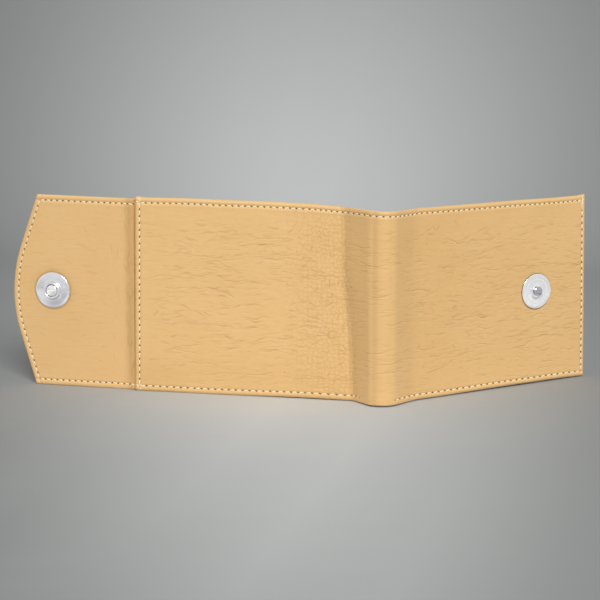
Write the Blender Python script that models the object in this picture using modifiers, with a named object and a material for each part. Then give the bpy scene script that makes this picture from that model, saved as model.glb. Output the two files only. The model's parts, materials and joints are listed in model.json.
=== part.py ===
"""Leather bifold wallet with a snap flap, standing open on its lower edge.

The back panel lies along X with its outer face towards -Y. The spine is a soft ridge of three
leather strips that fold on upright creases: the arched ridge in the middle, and a wing on each
side of it that carries a panel. The flap leaves the back panel's free edge, and its two creases
wrap it round both panels when they close. Sizes are in metres. Each body has its own empty on
its crease, with X along the piece, Y towards the inside of the wallet and Z up, and Y is zero
halfway through the outer leather. What hangs on the ridge's back side runs towards -X.
"""

import math

import bmesh
import bpy

# Panels, measured from the crease at the spine to the free edge
PANEL_HEIGHT = 0.094
BACK_LENGTH = 0.106
FRONT_SETBACK = 0.0002

# Layers of a panel, from the outside in
LEATHER = 0.0011
BOARD = 0.00045
TURNED_LEATHER = 0.0004
LINING = 0.00035
POCKET_LEATHER = 0.00035
LAYER_GAP = 0.0002
CLOSED_GAP = 0.0004

# Edges of a panel
TURNED_WALL = 0.0009
TURNED_WIDTH = 0.009
EDGE_ROUNDING = 0.0005
INNER_INSET = 0.0015
DIVIDER_DROP = 0.004
UPPER_POCKET_TOP = 0.066
LOWER_POCKET_TOP = 0.050
POCKET_CREASE_INSET = 0.004

# Seam thread, sunk in a groove of the outer leather
SEAM_INSET = 0.0026
THREAD_WIDTH = 0.0006
THREAD_DEPTH = 0.0003
THREAD_PROUD = 0.0001
GROOVE_DEPTH = 0.00045

# Spine ridge
WING_LENGTH = 0.017
RIDGE_LENGTH = 0.0094
RIDGE_RISE = 0.001
CREASE_GAP = 0.0004
RIDGE_GAP = 0.00045
LINING_SETBACK = 0.0016
WING_REST = math.radians(-38.0)
RIDGE_REST = math.radians(11.0)
FAR_WING_REST = math.radians(62.0)
FRONT_REST = math.radians(45.0)

# Flap
FLAP_INSET = 0.0011
FLAP_STANDOFF = 0.0014
FLAP_LENGTH = 0.0529
FLAP_TIP_RADIUS = 0.064
FLANK_ANGLE = math.radians(19.0)
FLAP_STIFFENER = 0.00035
FLAP_LINING_INSET = 0.0012
FLAP_STIFFENER_INSET = 0.006
FLAP_TAIL = 0.008
SNAP_TO_TIP = 0.0205
FLAP_FOLD_REST = math.radians(1.0)
FOLD_END_SHIFT = 0.00055
FOLD_CLEARANCE = 0.00035

# Snap cap and its rivet, on the outside of the flap
CAP_RADIUS = 0.009
CAP_THICKNESS = 0.0004
CAP_DOME = 0.0004
CAP_ROUNDING = 0.0002
COLLAR_RADIUS = 0.0044
COLLAR_HEIGHT = 0.0013
COLLAR_ROUNDING = 0.0004
RIVET_RADIUS = 0.0028
RIVET_WALL = 0.0004
RIVET_HEAD_RISE = 0.0004
RIVET_FLARE = 0.001
RIVET_FLARE_THICKNESS = 0.00025

# Socket and its spring, on the inside of the flap
SOCKET_RADIUS = 0.0062
SOCKET_WALL = 0.001
SOCKET_PLATE = 0.0004
SOCKET_MOUTH_RADIUS = 0.0026
SOCKET_PROUD = 0.00085
SPRING_THICKNESS = 0.00015
SPRING_BORE = 0.00195
SPRING_LIP_GAP = 0.00015

# Stud on the outside of the front panel
STUD_PLATE_RADIUS = 0.0087
STUD_PLATE_THICKNESS = 0.0006
STUD_PLATE_SINK = 0.0003
STUD_COLLAR_RADIUS = 0.0027
STUD_COLLAR_HEIGHT = 0.0002
STUD_POST_RADIUS = 0.0014
STUD_HEAD_RADIUS = 0.0022
STUD_HEAD_HEIGHT = 0.0016
STUD_HEIGHT = 0.0026
STUD_WASHER_RADIUS = 0.005
SNAP_CLEARANCE = 0.0004
BORE_CLEARANCE = 0.0002

# Counts and cutting overrun
TURN_STEPS = 40
HEAD_STEPS = 8
TIP_STEPS = 10
RIDGE_STEPS = 8
ROUND_SEGMENTS = 3
CUT_OVERRUN = 0.002
MERGE_DISTANCE = 0.000001

# Angles of rounding and turning
SHARP_ANGLE = math.radians(40.0)
QUARTER_TURN = math.radians(90.0)
WHOLE_TURN = math.radians(360.0)
HEAD_SWEEP = math.radians(150.0)

# Depths worked out from the layers
HALF_LEATHER = LEATHER / 2
BOARD_OUT = HALF_LEATHER + LAYER_GAP
BOARD_IN = BOARD_OUT + BOARD
TURNED_OUT = BOARD_IN + LAYER_GAP
TURNED_IN = TURNED_OUT + TURNED_LEATHER
LINING_OUT = TURNED_IN + LAYER_GAP
LINING_IN = LINING_OUT + LINING
DIVIDER_OUT = LINING_IN + LAYER_GAP
DIVIDER_IN = DIVIDER_OUT + POCKET_LEATHER
UPPER_POCKET_OUT = DIVIDER_IN + LAYER_GAP
UPPER_POCKET_IN = UPPER_POCKET_OUT + POCKET_LEATHER
LOWER_POCKET_OUT = UPPER_POCKET_IN + LAYER_GAP
PANEL_INNER = LOWER_POCKET_OUT + POCKET_LEATHER
PANEL_SPACING = 2 * PANEL_INNER + CLOSED_GAP
FLAP_DEPTH = (LINING_OUT + LINING_IN) / 2
FLAP_STIFFENER_OUT = HALF_LEATHER + LAYER_GAP
FLAP_STIFFENER_IN = FLAP_STIFFENER_OUT + FLAP_STIFFENER
FLAP_LINING_OUT = FLAP_STIFFENER_IN + LAYER_GAP
FLAP_INNER = FLAP_LINING_OUT + LINING
SOCKET_FACE = FLAP_INNER + SOCKET_PROUD
STUD_PLATE_TOP = HALF_LEATHER - STUD_PLATE_SINK + LAYER_GAP + STUD_PLATE_THICKNESS
FLAP_SPACING = PANEL_SPACING + STUD_PLATE_TOP + SNAP_CLEARANCE + SOCKET_FACE
ROOT_LENGTH = FLAP_SPACING - FLAP_DEPTH
FRONT_LENGTH = BACK_LENGTH - FRONT_SETBACK
FLAP_SNAP = FLAP_LENGTH - SNAP_TO_TIP
STUD_PLACE = BACK_LENGTH + FLAP_STANDOFF - FLAP_SNAP
TAIL_END = BACK_LENGTH + FLAP_STANDOFF - FOLD_END_SHIFT - FOLD_CLEARANCE
TAIL_START = TAIL_END - FLAP_TAIL
FLAP_MIDDLE = PANEL_HEIGHT / 2


def clear_scene():
    """Remove every object that the file starts with."""
    for old in list(bpy.data.objects):
        bpy.data.objects.remove(old, do_unlink=True)


def srgb(hex_colour):
    """Turn an sRGB hex string into linear red, green, blue and alpha."""
    channels = [int(hex_colour[i:i + 2], 16) / 255 for i in (0, 2, 4)]
    linear = [c / 12.92 if c <= 0.04045 else ((c + 0.055) / 1.055) ** 2.4 for c in channels]
    return (*linear, 1.0)


def make_material(name, hex_colour, roughness, metallic=0.0):
    """A Principled material with one colour, roughness and metallic value."""
    material = bpy.data.materials.new(name)
    material.use_nodes = True
    surface = material.node_tree.nodes["Principled BSDF"]
    surface.inputs["Base Color"].default_value = srgb(hex_colour)
    surface.inputs["Roughness"].default_value = roughness
    surface.inputs["Metallic"].default_value = metallic
    material.diffuse_color = srgb(hex_colour)
    return material


def pivot(name, parent, place, turn=0.0):
    """An empty at a place in its parent's frame, turned about the upright axis."""
    empty = bpy.data.objects.new(name, None)
    parts.objects.link(empty)
    empty.parent = parent
    empty.location = place
    empty.rotation_euler = (0.0, 0.0, turn)
    empty.empty_display_size = LINING_SETBACK
    return empty


def add_piece(name, mesh, body, hex_colour, roughness, metallic=0.0):
    """An object on a body, with a material of its own."""
    mesh.materials.append(make_material(name, hex_colour, roughness, metallic))
    piece = bpy.data.objects.new(name, mesh)
    parts.objects.link(piece)
    piece.parent = body
    return piece


def add_cutter(name, mesh, body):
    """An object that only cuts others."""
    cutter = bpy.data.objects.new(name, mesh)
    cutters.objects.link(cutter)
    cutter.parent = body
    cutter.hide_render = True
    cutter.display_type = "WIRE"
    return cutter


def box_mesh(name, low, high):
    """A block between two corners."""
    mesh = bpy.data.meshes.new(name)
    shape = bmesh.new()
    bmesh.ops.create_cube(shape, size=1.0)
    size = [b - a for a, b in zip(low, high)]
    middle = [(a + b) / 2 for a, b in zip(low, high)]
    bmesh.ops.scale(shape, vec=size, verts=shape.verts)
    bmesh.ops.translate(shape, vec=middle, verts=shape.verts)
    shape.to_mesh(mesh)
    shape.free()
    return mesh


def span(side, near, far):
    """The low and high X of a stretch that runs from near to far on one side of a crease."""
    return sorted((side * near, side * far))


def slab_mesh(name, side, near, far, outer, inner, bottom, top):
    """A block from near to far along a panel, between two depths and two heights."""
    left, right = span(side, near, far)
    return box_mesh(name, (left, outer, bottom), (right, inner, top))


def round_edges(piece, width=EDGE_ROUNDING, segments=ROUND_SEGMENTS):
    """Round the sharp edges of a piece."""
    bevel = piece.modifiers.new("rounded edges", "BEVEL")
    bevel.width = width
    bevel.segments = segments
    bevel.limit_method = "ANGLE"
    bevel.angle_limit = SHARP_ANGLE


def cut(piece, cutter):
    """Subtract a cutter from a piece."""
    boolean = piece.modifiers.new(cutter.name, "BOOLEAN")
    boolean.operation = "DIFFERENCE"
    boolean.solver = "EXACT"
    boolean.object = cutter


def hole(piece, name, body, place_x, height, radius, outer, inner):
    """Drill a round hole between two depths."""
    mesh = bpy.data.meshes.new(name)
    shape = bmesh.new()
    bmesh.ops.create_cone(shape, cap_ends=True, segments=TURN_STEPS, radius1=radius,
                          radius2=radius, depth=inner - outer)
    shape.to_mesh(mesh)
    shape.free()
    cutter = add_cutter(name, mesh, body)
    cutter.location = (place_x, (outer + inner) / 2, height)
    cutter.rotation_euler = (QUARTER_TURN, 0.0, 0.0)
    cut(piece, cutter)


def turned(name, profile, body, place_x, height, colour, roughness, closed=False):
    """A round metal piece: a profile of radius and rise, turned about an axis towards -Y."""
    mesh = bpy.data.meshes.new(name)
    points = [(radius, 0.0, rise) for radius, rise in profile]
    edges = [(i, i + 1) for i in range(len(points) - 1)]
    if closed:
        edges.append((len(points) - 1, 0))
    mesh.from_pydata(points, edges, [])
    piece = add_piece(name, mesh, body, colour, roughness, metallic=1.0)
    piece.location = (place_x, 0.0, height)
    piece.rotation_euler = (QUARTER_TURN, 0.0, 0.0)
    screw = piece.modifiers.new("turned", "SCREW")
    screw.axis = "Z"
    screw.angle = WHOLE_TURN
    screw.steps = TURN_STEPS
    screw.render_steps = TURN_STEPS
    screw.use_merge_vertices = True
    screw.merge_threshold = MERGE_DISTANCE
    screw.use_smooth_shade = True
    return piece


def outline_mesh(name, points, outer, inner):
    """A flat outline in X and Z, given a thickness between two depths."""
    curve = bpy.data.curves.new(name, "CURVE")
    curve.dimensions = "2D"
    curve.fill_mode = "BOTH"
    curve.extrude = (inner - outer) / 2
    line = curve.splines.new("POLY")
    line.points.add(len(points) - 1)
    for point, (x, z) in zip(line.points, points):
        point.co = (x, z, 0.0, 1.0)
    line.use_cyclic_u = True
    holder = bpy.data.objects.new(name, curve)
    parts.objects.link(holder)
    bpy.context.view_layer.update()
    evaluated = holder.evaluated_get(bpy.context.evaluated_depsgraph_get())
    mesh = bpy.data.meshes.new_from_object(evaluated)
    bpy.data.objects.remove(holder, do_unlink=True)
    shape = bmesh.new()
    shape.from_mesh(mesh)
    bmesh.ops.remove_doubles(shape, verts=shape.verts, dist=MERGE_DISTANCE)
    for vertex in shape.verts:
        x, z, depth = vertex.co
        vertex.co = (x, (outer + inner) / 2 - depth, z)
    bmesh.ops.recalc_face_normals(shape, faces=shape.faces)
    shape.to_mesh(mesh)
    shape.free()
    return mesh


def seam_frame(name, side, length, spread, outer, inner):
    """The mesh pair of a seam along three edges: a block, and the block that empties it."""
    far = length - SEAM_INSET + spread
    edge = SEAM_INSET - spread
    width = THREAD_WIDTH + 2 * spread
    whole = slab_mesh(name, side, CREASE_GAP + EDGE_ROUNDING, far, outer, inner,
                      edge, PANEL_HEIGHT - edge)
    core = slab_mesh(name + "_core", side, -CUT_OVERRUN, far - width, outer - CUT_OVERRUN,
                     inner + CUT_OVERRUN, edge + width, PANEL_HEIGHT - edge - width)
    return whole, core


def make_cover(name, side, length, body):
    """Outer leather with its three edges turned over the board and stitched down."""
    mesh = slab_mesh(name, side, CREASE_GAP, length, -HALF_LEATHER, TURNED_IN, 0.0, PANEL_HEIGHT)
    cover = add_piece(name, mesh, body, "E2B982", 0.5)
    round_edges(cover)
    cavity = slab_mesh(name + "_cavity", side, -CUT_OVERRUN, length - TURNED_WALL, HALF_LEATHER,
                       TURNED_OUT, TURNED_WALL, PANEL_HEIGHT - TURNED_WALL)
    cut(cover, add_cutter(name + "_cavity", cavity, body))
    window = slab_mesh(name + "_window", side, -CUT_OVERRUN, length - TURNED_WIDTH,
                       HALF_LEATHER + BOARD, TURNED_IN + CUT_OVERRUN, TURNED_WIDTH,
                       PANEL_HEIGHT - TURNED_WIDTH)
    cut(cover, add_cutter(name + "_window", window, body))
    whole, core = seam_frame(name + "_groove", side, length, LAYER_GAP,
                             -HALF_LEATHER - CUT_OVERRUN, -HALF_LEATHER + GROOVE_DEPTH)
    groove = add_cutter(name + "_groove", whole, body)
    cut(groove, add_cutter(name + "_groove_core", core, body))
    cut(cover, groove)
    return cover


def make_seam(name, side, length, body):
    """Thread of the seam along a panel's three stitched edges, in the cover's groove."""
    outer = -HALF_LEATHER - THREAD_PROUD
    whole, core = seam_frame(name, side, length, 0.0, outer, outer + THREAD_DEPTH)
    thread = add_piece(name, whole, body, "F7E6C4", 0.7)
    cut(thread, add_cutter(name + "_core", core, body))
    return thread


def make_panel(prefix, side, length, body, lining_end):
    """Everything flat in one panel: cover, board, lining, divider, two card pockets, thread."""
    make_cover(prefix + "_cover", side, length, body)
    inset = TURNED_WALL + LAYER_GAP
    board = slab_mesh(prefix + "_board", side, LINING_SETBACK, length - inset, BOARD_OUT,
                      BOARD_IN, inset, PANEL_HEIGHT - inset)
    add_piece(prefix + "_board", board, body, "B9A58A", 0.9)
    lining = slab_mesh(prefix + "_lining", side, LINING_SETBACK, lining_end, LINING_OUT,
                       LINING_IN, INNER_INSET, PANEL_HEIGHT - INNER_INSET)
    add_piece(prefix + "_lining", lining, body, "8A6A48", 0.8)
    inner_end = length - INNER_INSET
    sheets = (("_divider", DIVIDER_OUT, PANEL_HEIGHT - DIVIDER_DROP, LINING_SETBACK),
              ("_upper_card_pocket", UPPER_POCKET_OUT, UPPER_POCKET_TOP, POCKET_CREASE_INSET),
              ("_lower_card_pocket", LOWER_POCKET_OUT, LOWER_POCKET_TOP, POCKET_CREASE_INSET))
    for suffix, outer, top, start in sheets:
        sheet = slab_mesh(prefix + suffix, side, start, inner_end, outer,
                          outer + POCKET_LEATHER, INNER_INSET, top)
        add_piece(prefix + suffix, sheet, body, "D9AE76", 0.55)
    make_seam(prefix + "_seam_thread", side, length, body)


def make_wing(prefix, side, body):
    """A flat strip from the ridge's crease to a panel's: leather outside, lining inside."""
    leather = slab_mesh(prefix + "_leather", side, RIDGE_GAP, WING_LENGTH - CREASE_GAP,
                        -HALF_LEATHER, HALF_LEATHER, 0.0, PANEL_HEIGHT)
    round_edges(add_piece(prefix + "_leather", leather, body, "E2B982", 0.5))
    lining = slab_mesh(prefix + "_lining", side, LINING_SETBACK, WING_LENGTH - LAYER_GAP,
                       BOARD_OUT, BOARD_OUT + LINING, INNER_INSET, PANEL_HEIGHT - INNER_INSET)
    add_piece(prefix + "_lining", lining, body, "8A6A48", 0.8)


def arched_sheet(name, start, end, middle_depth, thickness, bottom, top, body, colour, rounding):
    """A sheet whose middle arches outwards between two creases."""
    mesh = bpy.data.meshes.new(name)
    shape = bmesh.new()
    bmesh.ops.create_grid(shape, x_segments=RIDGE_STEPS, y_segments=1, size=0.5)
    for vertex in shape.verts:
        share, up = vertex.co.x, vertex.co.y
        x = (start + end) / 2 + share * (end - start)
        across = (2 * x - RIDGE_LENGTH) / RIDGE_LENGTH
        arch = RIDGE_RISE * (1 - across * across)
        vertex.co = (x, middle_depth - arch, (bottom + top) / 2 + up * (top - bottom))
    shape.to_mesh(mesh)
    shape.free()
    sheet = add_piece(name, mesh, body, colour, 0.5)
    wall = sheet.modifiers.new("thickness", "SOLIDIFY")
    wall.thickness = thickness
    wall.offset = 0.0
    if rounding:
        round_edges(sheet)
    return sheet


def make_spine():
    """Three strips on four creases: the arched ridge and a wing on each side of it."""
    make_wing("spine_back_wing", -1, back_wing)
    arched_sheet("spine_ridge_leather", RIDGE_GAP, RIDGE_LENGTH - RIDGE_GAP, 0.0, LEATHER, 0.0,
                 PANEL_HEIGHT, ridge, "E2B982", True)
    arched_sheet("spine_ridge_lining", LINING_SETBACK, RIDGE_LENGTH - LINING_SETBACK,
                 BOARD_OUT + LINING / 2, LINING, INNER_INSET, PANEL_HEIGHT - INNER_INSET,
                 ridge, "8A6A48", False)
    make_wing("spine_front_wing", 1, front_wing)


def flap_outline(root, inset):
    """The flap's edge from its lower root round the pointed tip to its upper root.

    Two flanks, each turned by the flank angle, run into one arc whose middle is the tip. An inset
    shortens the tip, its radius and the half height alike, so the edges stay parallel.
    """
    radius = FLAP_TIP_RADIUS - inset
    centre = FLAP_LENGTH - FLAP_TIP_RADIUS
    half = PANEL_HEIGHT / 2 - FLAP_INSET - inset
    tangent_x = centre + radius * math.cos(FLANK_ANGLE)
    tangent_z = radius * math.sin(FLANK_ANGLE)
    corner = tangent_x - (half - tangent_z) * math.tan(FLANK_ANGLE)
    points = [(-root, FLAP_MIDDLE - half), (-corner, FLAP_MIDDLE - half)]
    for step in range(TIP_STEPS + 1):
        angle = FLANK_ANGLE * (2 * step / TIP_STEPS - 1)
        points.append((-centre - radius * math.cos(angle),
                       FLAP_MIDDLE + radius * math.sin(angle)))
    points += [(-corner, FLAP_MIDDLE + half), (-root, FLAP_MIDDLE + half)]
    return points


def flap_band(root, inset, width):
    """A band of one width that follows the flap's edge at an inset."""
    return flap_outline(root, inset) + flap_outline(root, inset + width)[::-1]


def make_flap():
    """Flap leather, stiffener, lining and thread, with the holes that the snap needs."""
    leather = add_piece("flap_leather", outline_mesh(
        "flap_leather", flap_outline(CREASE_GAP, 0.0), -HALF_LEATHER, HALF_LEATHER),
        flap, "E2BA84", 0.45)
    round_edges(leather)
    root = LINING_SETBACK + EDGE_ROUNDING
    groove = add_cutter("flap_groove", outline_mesh(
        "flap_groove", flap_band(root, SEAM_INSET - LAYER_GAP, THREAD_WIDTH + 2 * LAYER_GAP),
        -HALF_LEATHER - CUT_OVERRUN, -HALF_LEATHER + GROOVE_DEPTH), flap)
    cut(leather, groove)
    hole(leather, "flap_leather_hole", flap, -FLAP_SNAP, FLAP_MIDDLE,
         RIVET_RADIUS + BORE_CLEARANCE, -HALF_LEATHER - CUT_OVERRUN, HALF_LEATHER + CUT_OVERRUN)
    outer = -HALF_LEATHER - THREAD_PROUD
    add_piece("flap_seam_thread", outline_mesh(
        "flap_seam_thread", flap_band(root + LAYER_GAP, SEAM_INSET, THREAD_WIDTH), outer,
        outer + THREAD_DEPTH), flap, "F7E6C4", 0.7)
    layers = (("flap_stiffener", FLAP_STIFFENER_OUT, FLAP_STIFFENER, FLAP_STIFFENER_INSET,
               "B9A58A"),
              ("flap_lining", FLAP_LINING_OUT, LINING, FLAP_LINING_INSET, "D9AE76"))
    for name, depth, thickness, inset, colour in layers:
        layer = add_piece(name, outline_mesh(
            name, flap_outline(LINING_SETBACK + LAYER_GAP, inset), depth, depth + thickness),
            flap, colour, 0.7)
        hole(layer, name + "_hole", flap, -FLAP_SNAP, FLAP_MIDDLE,
             SOCKET_RADIUS + BORE_CLEARANCE, depth - CUT_OVERRUN, depth + thickness + CUT_OVERRUN)


def make_flap_root():
    """The strip that wraps the closed edges, and the flap's tail sewn into the back panel."""
    bottom = FLAP_INSET
    top = PANEL_HEIGHT - FLAP_INSET
    leather = box_mesh("flap_root_leather", (CREASE_GAP - ROOT_LENGTH, -HALF_LEATHER, bottom),
                       (FOLD_END_SHIFT, HALF_LEATHER, top))
    round_edges(add_piece("flap_root_leather", leather, flap_root, "DBAE76", 0.5))
    lining = box_mesh("flap_root_lining",
                      (LINING_SETBACK - ROOT_LENGTH, BOARD_OUT, bottom + FLAP_LINING_INSET),
                      (-LINING_SETBACK, BOARD_OUT + LINING, top - FLAP_LINING_INSET))
    add_piece("flap_root_lining", lining, flap_root, "D9AE76", 0.7)
    tail = slab_mesh("flap_sewn_tail", -1, TAIL_START, TAIL_END, LINING_OUT, LINING_IN, bottom,
                     top)
    add_piece("flap_sewn_tail", tail, back, "DBAE76", 0.6)


def make_snap_cap():
    """Ring cap on the flap's outer face, and the rivet that fills its centre."""
    seat = HALF_LEATHER + LAYER_GAP
    rim = seat + CAP_THICKNESS
    crown = rim + CAP_DOME + COLLAR_HEIGHT
    bore = RIVET_RADIUS + BORE_CLEARANCE
    turned("snap_cap", [
        (bore, crown - COLLAR_ROUNDING),
        (bore + COLLAR_ROUNDING, crown),
        (COLLAR_RADIUS - COLLAR_ROUNDING, crown),
        (COLLAR_RADIUS, crown - COLLAR_ROUNDING),
        (COLLAR_RADIUS, rim + CAP_DOME),
        (CAP_RADIUS - 2 * CAP_ROUNDING, rim),
        (CAP_RADIUS - CAP_ROUNDING / 2, rim - CAP_ROUNDING / 2),
        (CAP_RADIUS, seat + CAP_ROUNDING / 2),
        (CAP_RADIUS - CAP_ROUNDING / 2, seat),
        (bore, seat),
    ], flap, -FLAP_SNAP, FLAP_MIDDLE, "D8D8DA", 0.15, closed=True)
    head = rim + RIVET_HEAD_RISE
    inner = RIVET_RADIUS - RIVET_WALL
    flare_top = -(FLAP_STIFFENER_OUT + SOCKET_PLATE + LAYER_GAP)
    flare_bottom = flare_top - RIVET_FLARE_THICKNESS
    turned("snap_rivet", [
        (0.0, head),
        (RIVET_RADIUS - CAP_ROUNDING, head),
        (RIVET_RADIUS, head - CAP_ROUNDING),
        (RIVET_RADIUS, flare_top),
        (RIVET_RADIUS + RIVET_FLARE, flare_top),
        (RIVET_RADIUS + RIVET_FLARE, flare_bottom),
        (inner, flare_bottom),
        (inner, head - RIVET_WALL),
        (0.0, head - RIVET_WALL),
    ], flap, -FLAP_SNAP, FLAP_MIDDLE, "E6E6E6", 0.12)


def make_snap_socket():
    """Socket on the flap's inner face, with the spring ring that grips the stud's neck."""
    back_face = -FLAP_STIFFENER_OUT
    plate = back_face - SOCKET_PLATE
    lip = -SOCKET_FACE + SOCKET_PLATE
    inner = SOCKET_RADIUS - SOCKET_WALL
    bore = RIVET_RADIUS + BORE_CLEARANCE
    turned("snap_socket", [
        (bore, back_face),
        (SOCKET_RADIUS - CAP_ROUNDING, back_face),
        (SOCKET_RADIUS, back_face - CAP_ROUNDING),
        (SOCKET_RADIUS, -SOCKET_FACE + CAP_ROUNDING),
        (SOCKET_RADIUS - CAP_ROUNDING, -SOCKET_FACE),
        (SOCKET_MOUTH_RADIUS, -SOCKET_FACE),
        (SOCKET_MOUTH_RADIUS, lip),
        (inner, lip),
        (inner, plate),
        (bore, plate),
    ], flap, -FLAP_SNAP, FLAP_MIDDLE, "D0D0D2", 0.2, closed=True)
    spring_low = lip + SPRING_LIP_GAP
    spring_high = spring_low + SPRING_THICKNESS
    turned("snap_spring", [
        (SPRING_BORE, spring_high),
        (inner - BORE_CLEARANCE, spring_high),
        (inner - BORE_CLEARANCE, spring_low),
        (SPRING_BORE, spring_low),
    ], flap, -FLAP_SNAP, FLAP_MIDDLE, "B8B8BC", 0.3, closed=True)


def make_stud():
    """Stud plate sunk in the front cover, the headed post and the washer that holds it."""
    middle = PANEL_HEIGHT / 2
    floor = HALF_LEATHER - STUD_PLATE_SINK
    cover = bpy.data.objects["front_cover"]
    board = bpy.data.objects["front_board"]
    bore = STUD_POST_RADIUS + BORE_CLEARANCE
    hole(cover, "stud_plate_recess", front, STUD_PLACE, middle, STUD_PLATE_RADIUS + LAYER_GAP,
         -HALF_LEATHER - CUT_OVERRUN, -floor)
    hole(cover, "stud_cover_hole", front, STUD_PLACE, middle, bore, -LEATHER, LEATHER)
    hole(board, "stud_board_hole", front, STUD_PLACE, middle, bore, BOARD_OUT - CUT_OVERRUN,
         BOARD_IN + CUT_OVERRUN)
    seat = floor + LAYER_GAP
    turned("stud_plate", [
        (bore, STUD_PLATE_TOP + STUD_COLLAR_HEIGHT),
        (STUD_COLLAR_RADIUS - CAP_ROUNDING, STUD_PLATE_TOP + STUD_COLLAR_HEIGHT),
        (STUD_COLLAR_RADIUS, STUD_PLATE_TOP),
        (STUD_PLATE_RADIUS - 2 * CAP_ROUNDING, STUD_PLATE_TOP),
        (STUD_PLATE_RADIUS, STUD_PLATE_TOP - CAP_ROUNDING),
        (STUD_PLATE_RADIUS, seat + CAP_ROUNDING / 2),
        (STUD_PLATE_RADIUS - CAP_ROUNDING / 2, seat),
        (bore, seat),
    ], front, STUD_PLACE, middle, "DCDCDE", 0.15, closed=True)
    tip = STUD_PLATE_TOP + STUD_HEIGHT
    half_head = STUD_HEAD_HEIGHT / 2
    profile = []
    for step in range(HEAD_STEPS):
        angle = QUARTER_TURN - HEAD_SWEEP * step / HEAD_STEPS
        radius = STUD_HEAD_RADIUS * math.cos(angle) if step else 0.0
        profile.append((radius, tip - half_head + half_head * math.sin(angle)))
    profile.append((STUD_POST_RADIUS, tip - STUD_HEAD_HEIGHT))
    profile.append((STUD_POST_RADIUS, -TURNED_IN))
    profile.append((0.0, -TURNED_IN))
    turned("stud_post", profile, front, STUD_PLACE, middle, "D4D4D6", 0.12)
    turned("stud_washer", [
        (bore, -TURNED_OUT),
        (STUD_WASHER_RADIUS, -TURNED_OUT),
        (STUD_WASHER_RADIUS, -TURNED_IN),
        (bore, -TURNED_IN),
    ], front, STUD_PLACE, middle, "C8C8CA", 0.3, closed=True)


def centre_on_base():
    """Move the whole wallet so that the origin is the bottom centre of its box."""
    bpy.context.view_layer.update()
    graph = bpy.context.evaluated_depsgraph_get()
    corners = []
    for piece in parts.objects:
        if piece.type == "MESH":
            shape = piece.evaluated_get(graph)
            corners += [piece.matrix_world @ vertex.co for vertex in shape.data.vertices]
    for axis in (0, 1):
        values = [corner[axis] for corner in corners]
        wallet.location[axis] -= (min(values) + max(values)) / 2


clear_scene()
parts = bpy.data.collections.new("wallet")
cutters = bpy.data.collections.new("wallet cutters")
bpy.context.scene.collection.children.link(parts)
bpy.context.scene.collection.children.link(cutters)

wallet = pivot("wallet_frame", None, (0.0, 0.0, 0.0))
ridge = pivot("spine_ridge_frame", wallet, (0.0, 0.0, 0.0), RIDGE_REST)
back_wing = pivot("ridge_back_fold", ridge, (0.0, 0.0, 0.0), WING_REST - RIDGE_REST)
back = pivot("spine_back_fold", back_wing, (-WING_LENGTH, 0.0, 0.0), -WING_REST)
front_wing = pivot("ridge_front_fold", ridge, (RIDGE_LENGTH, 0.0, 0.0),
                   FAR_WING_REST - RIDGE_REST)
front = pivot("spine_front_fold", front_wing, (WING_LENGTH, 0.0, 0.0),
              FRONT_REST - FAR_WING_REST)
flap_root = pivot("flap_root_fold", back, (-BACK_LENGTH - FLAP_STANDOFF, FLAP_DEPTH, 0.0),
                  -FLAP_FOLD_REST)
flap = pivot("flap_fold", flap_root, (-ROOT_LENGTH, 0.0, 0.0), -FLAP_FOLD_REST)

make_panel("back", -1, BACK_LENGTH, back, TAIL_START - LAYER_GAP)
make_panel("front", 1, FRONT_LENGTH, front, FRONT_LENGTH - INNER_INSET)
make_spine()
make_flap_root()
make_flap()
make_snap_cap()
make_snap_socket()
make_stud()
centre_on_base()
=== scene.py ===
import json
import math

import bmesh
import bpy
import numpy as np
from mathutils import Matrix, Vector


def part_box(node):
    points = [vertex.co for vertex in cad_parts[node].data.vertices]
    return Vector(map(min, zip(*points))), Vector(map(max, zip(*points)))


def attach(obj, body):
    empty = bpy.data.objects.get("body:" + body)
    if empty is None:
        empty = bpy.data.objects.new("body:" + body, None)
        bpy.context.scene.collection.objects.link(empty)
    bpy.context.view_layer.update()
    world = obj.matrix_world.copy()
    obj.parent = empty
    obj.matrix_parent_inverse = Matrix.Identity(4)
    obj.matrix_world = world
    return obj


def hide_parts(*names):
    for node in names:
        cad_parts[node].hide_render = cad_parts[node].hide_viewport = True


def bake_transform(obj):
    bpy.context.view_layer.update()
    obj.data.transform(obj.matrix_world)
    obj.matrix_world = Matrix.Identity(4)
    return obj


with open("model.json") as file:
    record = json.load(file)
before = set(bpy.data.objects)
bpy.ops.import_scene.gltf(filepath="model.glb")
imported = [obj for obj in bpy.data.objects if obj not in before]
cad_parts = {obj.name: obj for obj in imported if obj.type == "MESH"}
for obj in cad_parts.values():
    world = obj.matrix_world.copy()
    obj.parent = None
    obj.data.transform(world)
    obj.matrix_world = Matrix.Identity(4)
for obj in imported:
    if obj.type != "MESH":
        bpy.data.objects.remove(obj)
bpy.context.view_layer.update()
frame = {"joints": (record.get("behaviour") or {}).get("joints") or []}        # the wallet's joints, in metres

# Panels and spine, with the sizes of the wallet's solids
PANEL_HEIGHT = 0.094
BACK_LENGTH = 0.106
FRONT_LENGTH = 0.1058
FRONT_HEADING = math.radians(45.0)
RIDGE_RISE = 0.0006
HALF_LEATHER = 0.00055
TURNED_OUT = 0.0014
TURNED_IN = 0.0018
TURNED_WIDTH = 0.009
TURNED_WALL = 0.0009
BOARD_OUT = 0.00075
BOARD_IN = 0.0012
LINING_OUT = 0.002
LINING_IN = 0.00235
WING_LINING_OUT = 0.00075
WING_LINING_IN = 0.0011
ROOT_LINING_OUT = 0.00058
ROOT_LINING_IN = 0.0008
DIVIDER_OUT = 0.00255
UPPER_POCKET_OUT = 0.0031
LOWER_POCKET_OUT = 0.00365
POCKET_LEATHER = 0.00035
INNER_INSET = 0.0015
DIVIDER_TOP = 0.09
UPPER_POCKET_TOP = 0.066
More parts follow.
